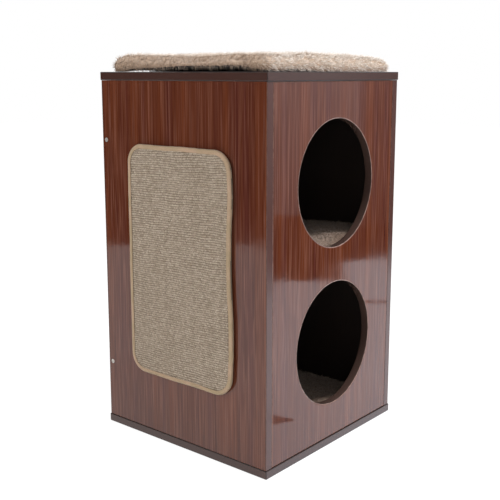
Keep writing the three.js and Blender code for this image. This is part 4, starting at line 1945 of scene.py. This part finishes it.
@dataclass
class TouchTapes:
    """Hook-and-loop tape under the roof cushion and behind the pad.

    Attributes:
        base_share: how much of a tape's thickness is its woven base.
        pitch: from one hook or loop to the next.
        thread: radius of their thread.
        margin: bare strip along a tape's edges.
    """

    base_share: float = 0.72
    pitch: float = 0.0024
    thread: float = 0.00012
    margin: float = 0.0012

    ROWS = (
        (
            "roof_hook_tapes", "house", Catch.HOOKS,
            ("left_cushion_hook_strip", "right_cushion_hook_strip"), (0, 0, 1),
        ),
        (
            "cushion_loop_tapes", "roof_cushion", Catch.LOOPS,
            ("left_cushion_loop_strip", "right_cushion_loop_strip"), (0, 0, -1),
        ),
        (
            "wall_hook_tapes", "house", Catch.HOOKS,
            ("lower_pad_hook_strip", "upper_pad_hook_strip"), (-1, 0, 0),
        ),
        (
            "pad_loop_tapes", "scratching_pad", Catch.LOOPS,
            ("lower_pad_loop_strip", "upper_pad_loop_strip"), (1, 0, 0),
        ),
    )

    def make_tape(self) -> Recipe:
        """Builds the recipe for one tape: a woven base with rows of hooks or loops.

        Returns:
            The plan.
        """
        inputs = {
            "Width": 0.025, "Length": 0.1, "Backing": 0.0006, "Rise": 0.0006, "Pitch": 0.002, "Margin": 0.001,
            "Thread": 0.0001, "Sweep": 3.0, "Seed": 1, "Material": MATERIAL,
        }
        plan = Recipe("touch_tape", inputs)
        given = plan.given
        feeds = {
            "Size": plan.point(given["Width"], given["Length"], given["Backing"]),
            "Vertices X": 6, "Vertices Y": 40,
        }
        base = plan.add("GeometryNodeMeshCube", feeds).outputs["Mesh"]
        half = plan.times(given["Backing"], 0.5)
        base = plan.turned(base, Translation=plan.point(z=half))

        def inner(side: str) -> Socket:
            """Gives a side's length inside the margins."""
            return plan.math("SUBTRACT", given[side], plan.times(given["Margin"], 2.0))

        def tally(length: Socket) -> Socket:
            """Counts the places along a side."""
            return plan.math("FLOOR", plan.math("DIVIDE", length, given["Pitch"]))

        wide, long = inner("Width"), inner("Length")
        feeds = {"Size X": wide, "Size Y": long, "Vertices X": tally(wide), "Vertices Y": tally(long)}
        grid = plan.add("GeometryNodeMeshGrid", feeds).outputs["Mesh"]
        grid = plan.turned(grid, Translation=plan.point(z=given["Backing"]))
        radius = plan.times(given["Rise"], 0.8)
        feeds = {"Resolution": 5, "Radius": radius, "Sweep Angle": given["Sweep"]}
        arc = plan.add("GeometryNodeCurveArc", feeds)
        feeds = {"Resolution": 3, "Radius": given["Thread"]}
        ring = plan.add("GeometryNodeCurvePrimitiveCircle", feeds)
        feeds = {"Curve": arc.outputs["Curve"], "Profile Curve": ring.outputs["Curve"], "Fill Caps": True}
        bent = plan.one("GeometryNodeCurveToMesh", feeds)
        stood = plan.turned(bent, Rotation=(math.pi / 2, 0, 0))
        spun = plan.point(z=plan.chance(-0.9, 0.9, given["Seed"]))
        feeds = {"Points": grid, "Instance": stood, "Rotation": spun}
        laid = plan.one("GeometryNodeInstanceOnPoints", feeds)
        joined = plan.add("GeometryNodeJoinGeometry")
        plan.tree.links.new(laid, joined.inputs[0])
        plan.tree.links.new(base, joined.inputs[0])
        plan.finish_shape(joined.outputs[0], given["Material"])
        return plan

    def build(self, workshop: Workshop) -> None:
        """Makes the four pairs of tape.

        Args:
            workshop: the finishes.
        """
        plan = self.make_tape()
        for name, body, catch, nodes, facing in self.ROWS:
            shape = bmesh.new()
            for number, node in enumerate(nodes):
                low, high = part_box(node)
                size, middle, way = high - low, (low + high) / 2, Vector(facing)
                thick = abs(size.dot(way))
                along = Vector((0.0, 1.0, 0.0))
                across = along.cross(way)
                turn = Matrix((across, along, way)).transposed().to_4x4()
                base = thick * self.base_share
                tape = plan.grow(
                    node + "_tape", None, width=abs(size.dot(across)), length=size.y, backing=base,
                    rise=thick - base, pitch=self.pitch, margin=self.margin, thread=self.thread,
                    sweep=catch.value, seed=30 + number, material=workshop["nylon_tape"],
                )
                tape.transform(Matrix.Translation(middle - way * thick / 2) @ turn)
                shape.from_mesh(tape)
            add_piece(name, to_mesh(shape, name, (workshop["nylon_tape"],)), body, nodes)


NEAR = (0.0, 0.5)


@dataclass(frozen=True)
class Sheet:
    """A flat thing that the glossy walls mirror and nothing else sees.

    Its corners are given along the paper roll, across it and up.

    Attributes:
        name: what it is.
        corners: its four corners in order.
        fade: which of the three ways its brightness changes along.
        span: where the change starts and ends.
        glow: how bright it is at either end, where 1 is white.
    """

    name: str
    corners: tuple[Point, Point, Point, Point]
    fade: int = 2
    span: tuple[float, float] = (0.0, 1.0)
    glow: tuple[float, float] = (0.0, 0.0)


def laid(name: str, first: Point, last: Point, glow: tuple[float, float] = (0.0, 0.0)) -> Sheet:
    """Lays a sheet on the floor, from one corner to the opposite one.

    Args:
        name: what it is.
        first: its nearest corner.
        last: its farthest corner.
        glow: how bright it is at the house and half a metre on.

    Returns:
        The sheet.
    """
    corners = (first, (last[0], first[1], first[2]), last, (first[0], last[1], first[2]))
    return Sheet(name, corners, 1, NEAR, glow)


def stood(
    name: str, ends: tuple[float, float], across: float, height: float,
    span: tuple[float, float] = (0.0, 1.0), glow: tuple[float, float] = (0.0, 0.0),
) -> Sheet:
    """Stands a sheet on the floor, along the paper roll.

    Args:
        name: what it is.
        ends: where it starts and ends, along the roll.
        across: where it stands, across the roll.
        height: how tall it is.
        span: heights between which its brightness changes.
        glow: how bright it is at either.

    Returns:
        The sheet.
    """
    start, end = ends
    corners = ((start, across, 0.0), (end, across, 0.0), (end, across, height), (start, across, height))
    return Sheet(name, corners, 2, span, glow)


@dataclass(frozen=True)
class Lamp:
    """A square soft light.

    Attributes:
        name: what it is.
        place: where it hangs.
        target: what it aims at.
        size: length of its side.
        power: its power.
    """

    name: str
    place: Point
    target: Point
    size: float
    power: float


@dataclass
class Studio:
    """Camera, light, floor and the sheets that the glossy walls mirror.

    The sheets stand along a paper roll that runs past the house. Only reflections see them.
    """

    eye: Point = (-1.25532, -1.0487, 0.68337)
    heading: float = 0.8731
    dip: float = 0.1760
    lens: float = 61.42
    sensor: float = 36.0
    lift: float = -0.0510
    clip: float = 100.0
    floor_half: float = 9.0
    ambient: float = 0.72
    paper_turn: float = math.atan2(0.77, 0.64)
    paper_tint: Colour = (0.93, 0.98, 1.06, 1.0)

    PAPER = (1.45, 1.8)
    SHEETS = (
        Sheet(
            "bright_paper",
            ((-3.0, -0.027, 0.0005), (-0.282, -0.027, 0.0005), (0.893, 1.387, 0.0005), (-3.0, 1.387, 0.0005)),
            1, NEAR, PAPER,
        ),
        laid("dark_floor", (-0.5, 1.387, 0.0003), (3.0, 1.95, 0.0003)),
        Sheet(
            "bright_paper_step",
            ((-0.1, 1.387, 0.0005), (0.6, 1.387, 0.0005), (0.6, 1.973, 0.0005), (-0.1, 1.609, 0.0005)),
            1, NEAR, PAPER,
        ),
        laid("floor_line", (0.036, 1.103, 0.001), (3.0, 1.135, 0.001), (0.5, 0.5)),
        Sheet(
            "floor_patch",
            ((-0.264, 0.203, 0.001), (-0.222, 0.222, 0.001), (-0.222, 0.232, 0.001), (-0.264, 0.252, 0.001)),
            1, NEAR, (0.35, 0.35),
        ),
        stood("dark_left", (-3.0, 3.0), -2.042, 1.6),
        stood("dark_right", (-3.0, -0.007), 1.387, 0.223),
        stood("dark_step", (-0.1, 3.0), 1.76, 0.12),
        stood("dim_right", (0.092, 3.0), 1.783, 1.6, (0.1, 0.7), (0.04, 0.27)),
        stood("grey_right", (-3.0, 3.0), 1.95, 2.5, (0.2, 0.8), (0.42, 0.9)),
    )
    LAMPS = (
        Lamp("overhead", (0.73, -1.14, 3.0), (0.0, -0.1, 0.6), 0.22, 80.0),
        Lamp("front_right", (1.6, -2.6, 1.4), (0.0, 0.0, 0.35), 1.6, 18.0),
        Lamp("left_side", (-2.2, 1.3, 1.2), (0.0, 0.0, 0.35), 1.0, 21.0),
    )

    def camera(self) -> None:
        """Sets the camera where the photograph was taken from."""
        data = bpy.data.cameras.new("camera")
        data.lens, data.sensor_width, data.shift_y = self.lens, self.sensor, self.lift
        data.clip_end = self.clip
        camera = bpy.data.objects.new("camera", data)
        camera.location = self.eye
        camera.rotation_euler = (math.pi / 2 - self.dip, 0.0, -self.heading)
        show(camera)
        bpy.context.scene.camera = camera

    @staticmethod
    def seen(graph: Graph) -> Socket:
        """Adds the mask of rays that see the background as it is: camera, glossy and glass rays.

        Args:
            graph: the material's or world's graph.

        Returns:
            The socket with the mask.
        """
        path = graph.add("ShaderNodeLightPath").outputs
        either = graph.math("MAXIMUM", path["Is Camera Ray"], path["Is Glossy Ray"])
        return graph.math("MAXIMUM", either, path["Is Transmission Ray"])

    def world(self) -> None:
        """Sets an even sky that is white where it is seen."""
        world = bpy.data.worlds.new("studio")
        world.use_nodes = True
        graph = Graph(world.node_tree)
        shader = world.node_tree.nodes["Background"]
        white = (1.0, 1.0, 1.0, 1.0)
        sky = (1.0, 0.985, 0.965, 1.0)
        seen = self.seen(graph)
        graph.tree.links.new(graph.mix(seen, sky, white), shader.inputs["Color"])
        graph.tree.links.new(graph.span(seen, 0.0, 1.0, self.ambient, 1.0), shader.inputs["Strength"])
        bpy.context.scene.world = world

    @staticmethod
    def plate(name: str, corners: Sequence[Vector]) -> tuple[Piece, Graph, Socket]:
        """Adds a flat four-sided thing of the stage with an empty material.

        Args:
            name: what it is.
            corners: its four corners in order.

        Returns:
            The object, its material's graph and the socket that its surface goes to.
        """
        mesh = bpy.data.meshes.new(name)
        mesh.from_pydata([tuple(corner) for corner in corners], [], [(0, 1, 2, 3)])
        made = bpy.data.materials.new(name)
        made.use_nodes = True
        made.node_tree.nodes.remove(made.node_tree.nodes["Principled BSDF"])
        mesh.materials.append(made)
        plate = bpy.data.objects.new(name, mesh)
        show(plate)
        return plate, Graph(made.node_tree), made.node_tree.nodes["Material Output"].inputs["Surface"]

    def floor(self) -> None:
        """Lays the pale floor, white where it is seen but for a soft shadow."""
        half = self.floor_half
        corners = [Vector((half * x, half * y, 0.0)) for x, y in ((-1, -1), (1, -1), (1, 1), (-1, 1))]
        _, graph, surface = self.plate("floor", corners)
        pale, white = (0.82, 0.82, 0.82, 1.0), (1.0, 1.0, 1.0, 1.0)
        share, lift = 0.78, 1.17
        matt = graph.one("ShaderNodeBsdfDiffuse", {"Color": pale})
        glow = graph.one("ShaderNodeEmission", {"Color": white, "Strength": lift})
        shown = graph.times(self.seen(graph), share)
        mixed = graph.one("ShaderNodeMixShader", {0: shown, 1: matt, 2: glow})
        graph.tree.links.new(mixed, surface)

    def mirrored(self, sheet: Sheet) -> None:
        """Stands a sheet that only reflections see.

        Args:
            sheet: which sheet.
        """
        along = Vector((math.cos(self.paper_turn), math.sin(self.paper_turn), 0.0))
        ways = (along, Vector((along.y, -along.x, 0.0)), Vector((0.0, 0.0, 1.0)))
        corners = [sum((ways[k] * spot[k] for k in range(3)), Vector()) for spot in sheet.corners]
        plate, graph, surface = self.plate(sheet.name, corners)
        place = graph.add("ShaderNodeTexCoord").outputs["Object"]
        feeds = {0: place, 1: tuple(ways[sheet.fade])}
        reach = graph.add("ShaderNodeVectorMath", feeds, operation="DOT_PRODUCT").outputs["Value"]
        strength = graph.span(reach, *sheet.span, *sheet.glow)
        feeds = {"Color": self.paper_tint, "Strength": strength}
        graph.tree.links.new(graph.add("ShaderNodeEmission", feeds).outputs[0], surface)
        plate.visible_camera = False
        plate.visible_diffuse = False
        plate.visible_transmission = False
        plate.visible_shadow = False

    @staticmethod
    def hang(lamp: Lamp) -> None:
        """Hangs a lamp, which reflections don't see.

        Args:
            lamp: which lamp.
        """
        data = bpy.data.lights.new(lamp.name, "AREA")
        data.shape, data.size, data.energy = "SQUARE", lamp.size, lamp.power
        light = bpy.data.objects.new(lamp.name, data)
        light.location = lamp.place
        aim = Vector(lamp.target) - Vector(lamp.place)
        light.rotation_euler = aim.to_track_quat("-Z", "Y").to_euler()
        light.visible_glossy = False
        show(light)

    def build(self) -> None:
        """Sets the whole studio."""
        bpy.context.scene.view_settings.view_transform = "Standard"
        self.camera()
        self.world()
        self.floor()
        for sheet in self.SHEETS:
            self.mirrored(sheet)
        for lamp in self.LAMPS:
            self.hang(lamp)


def main() -> None:
    """Builds the scene in order."""
    logging.basicConfig(level=logging.INFO, format="%(name)s %(message)s")
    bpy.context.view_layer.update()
    Studio().build()
    workshop = Workshop()
    Carcass().build(workshop)
    ScratchPad().build(workshop)
    TouchTapes().build(workshop)
    BackScrews().build(workshop)
    Cushions().build(workshop)


if __name__ == "__main__":
    main()
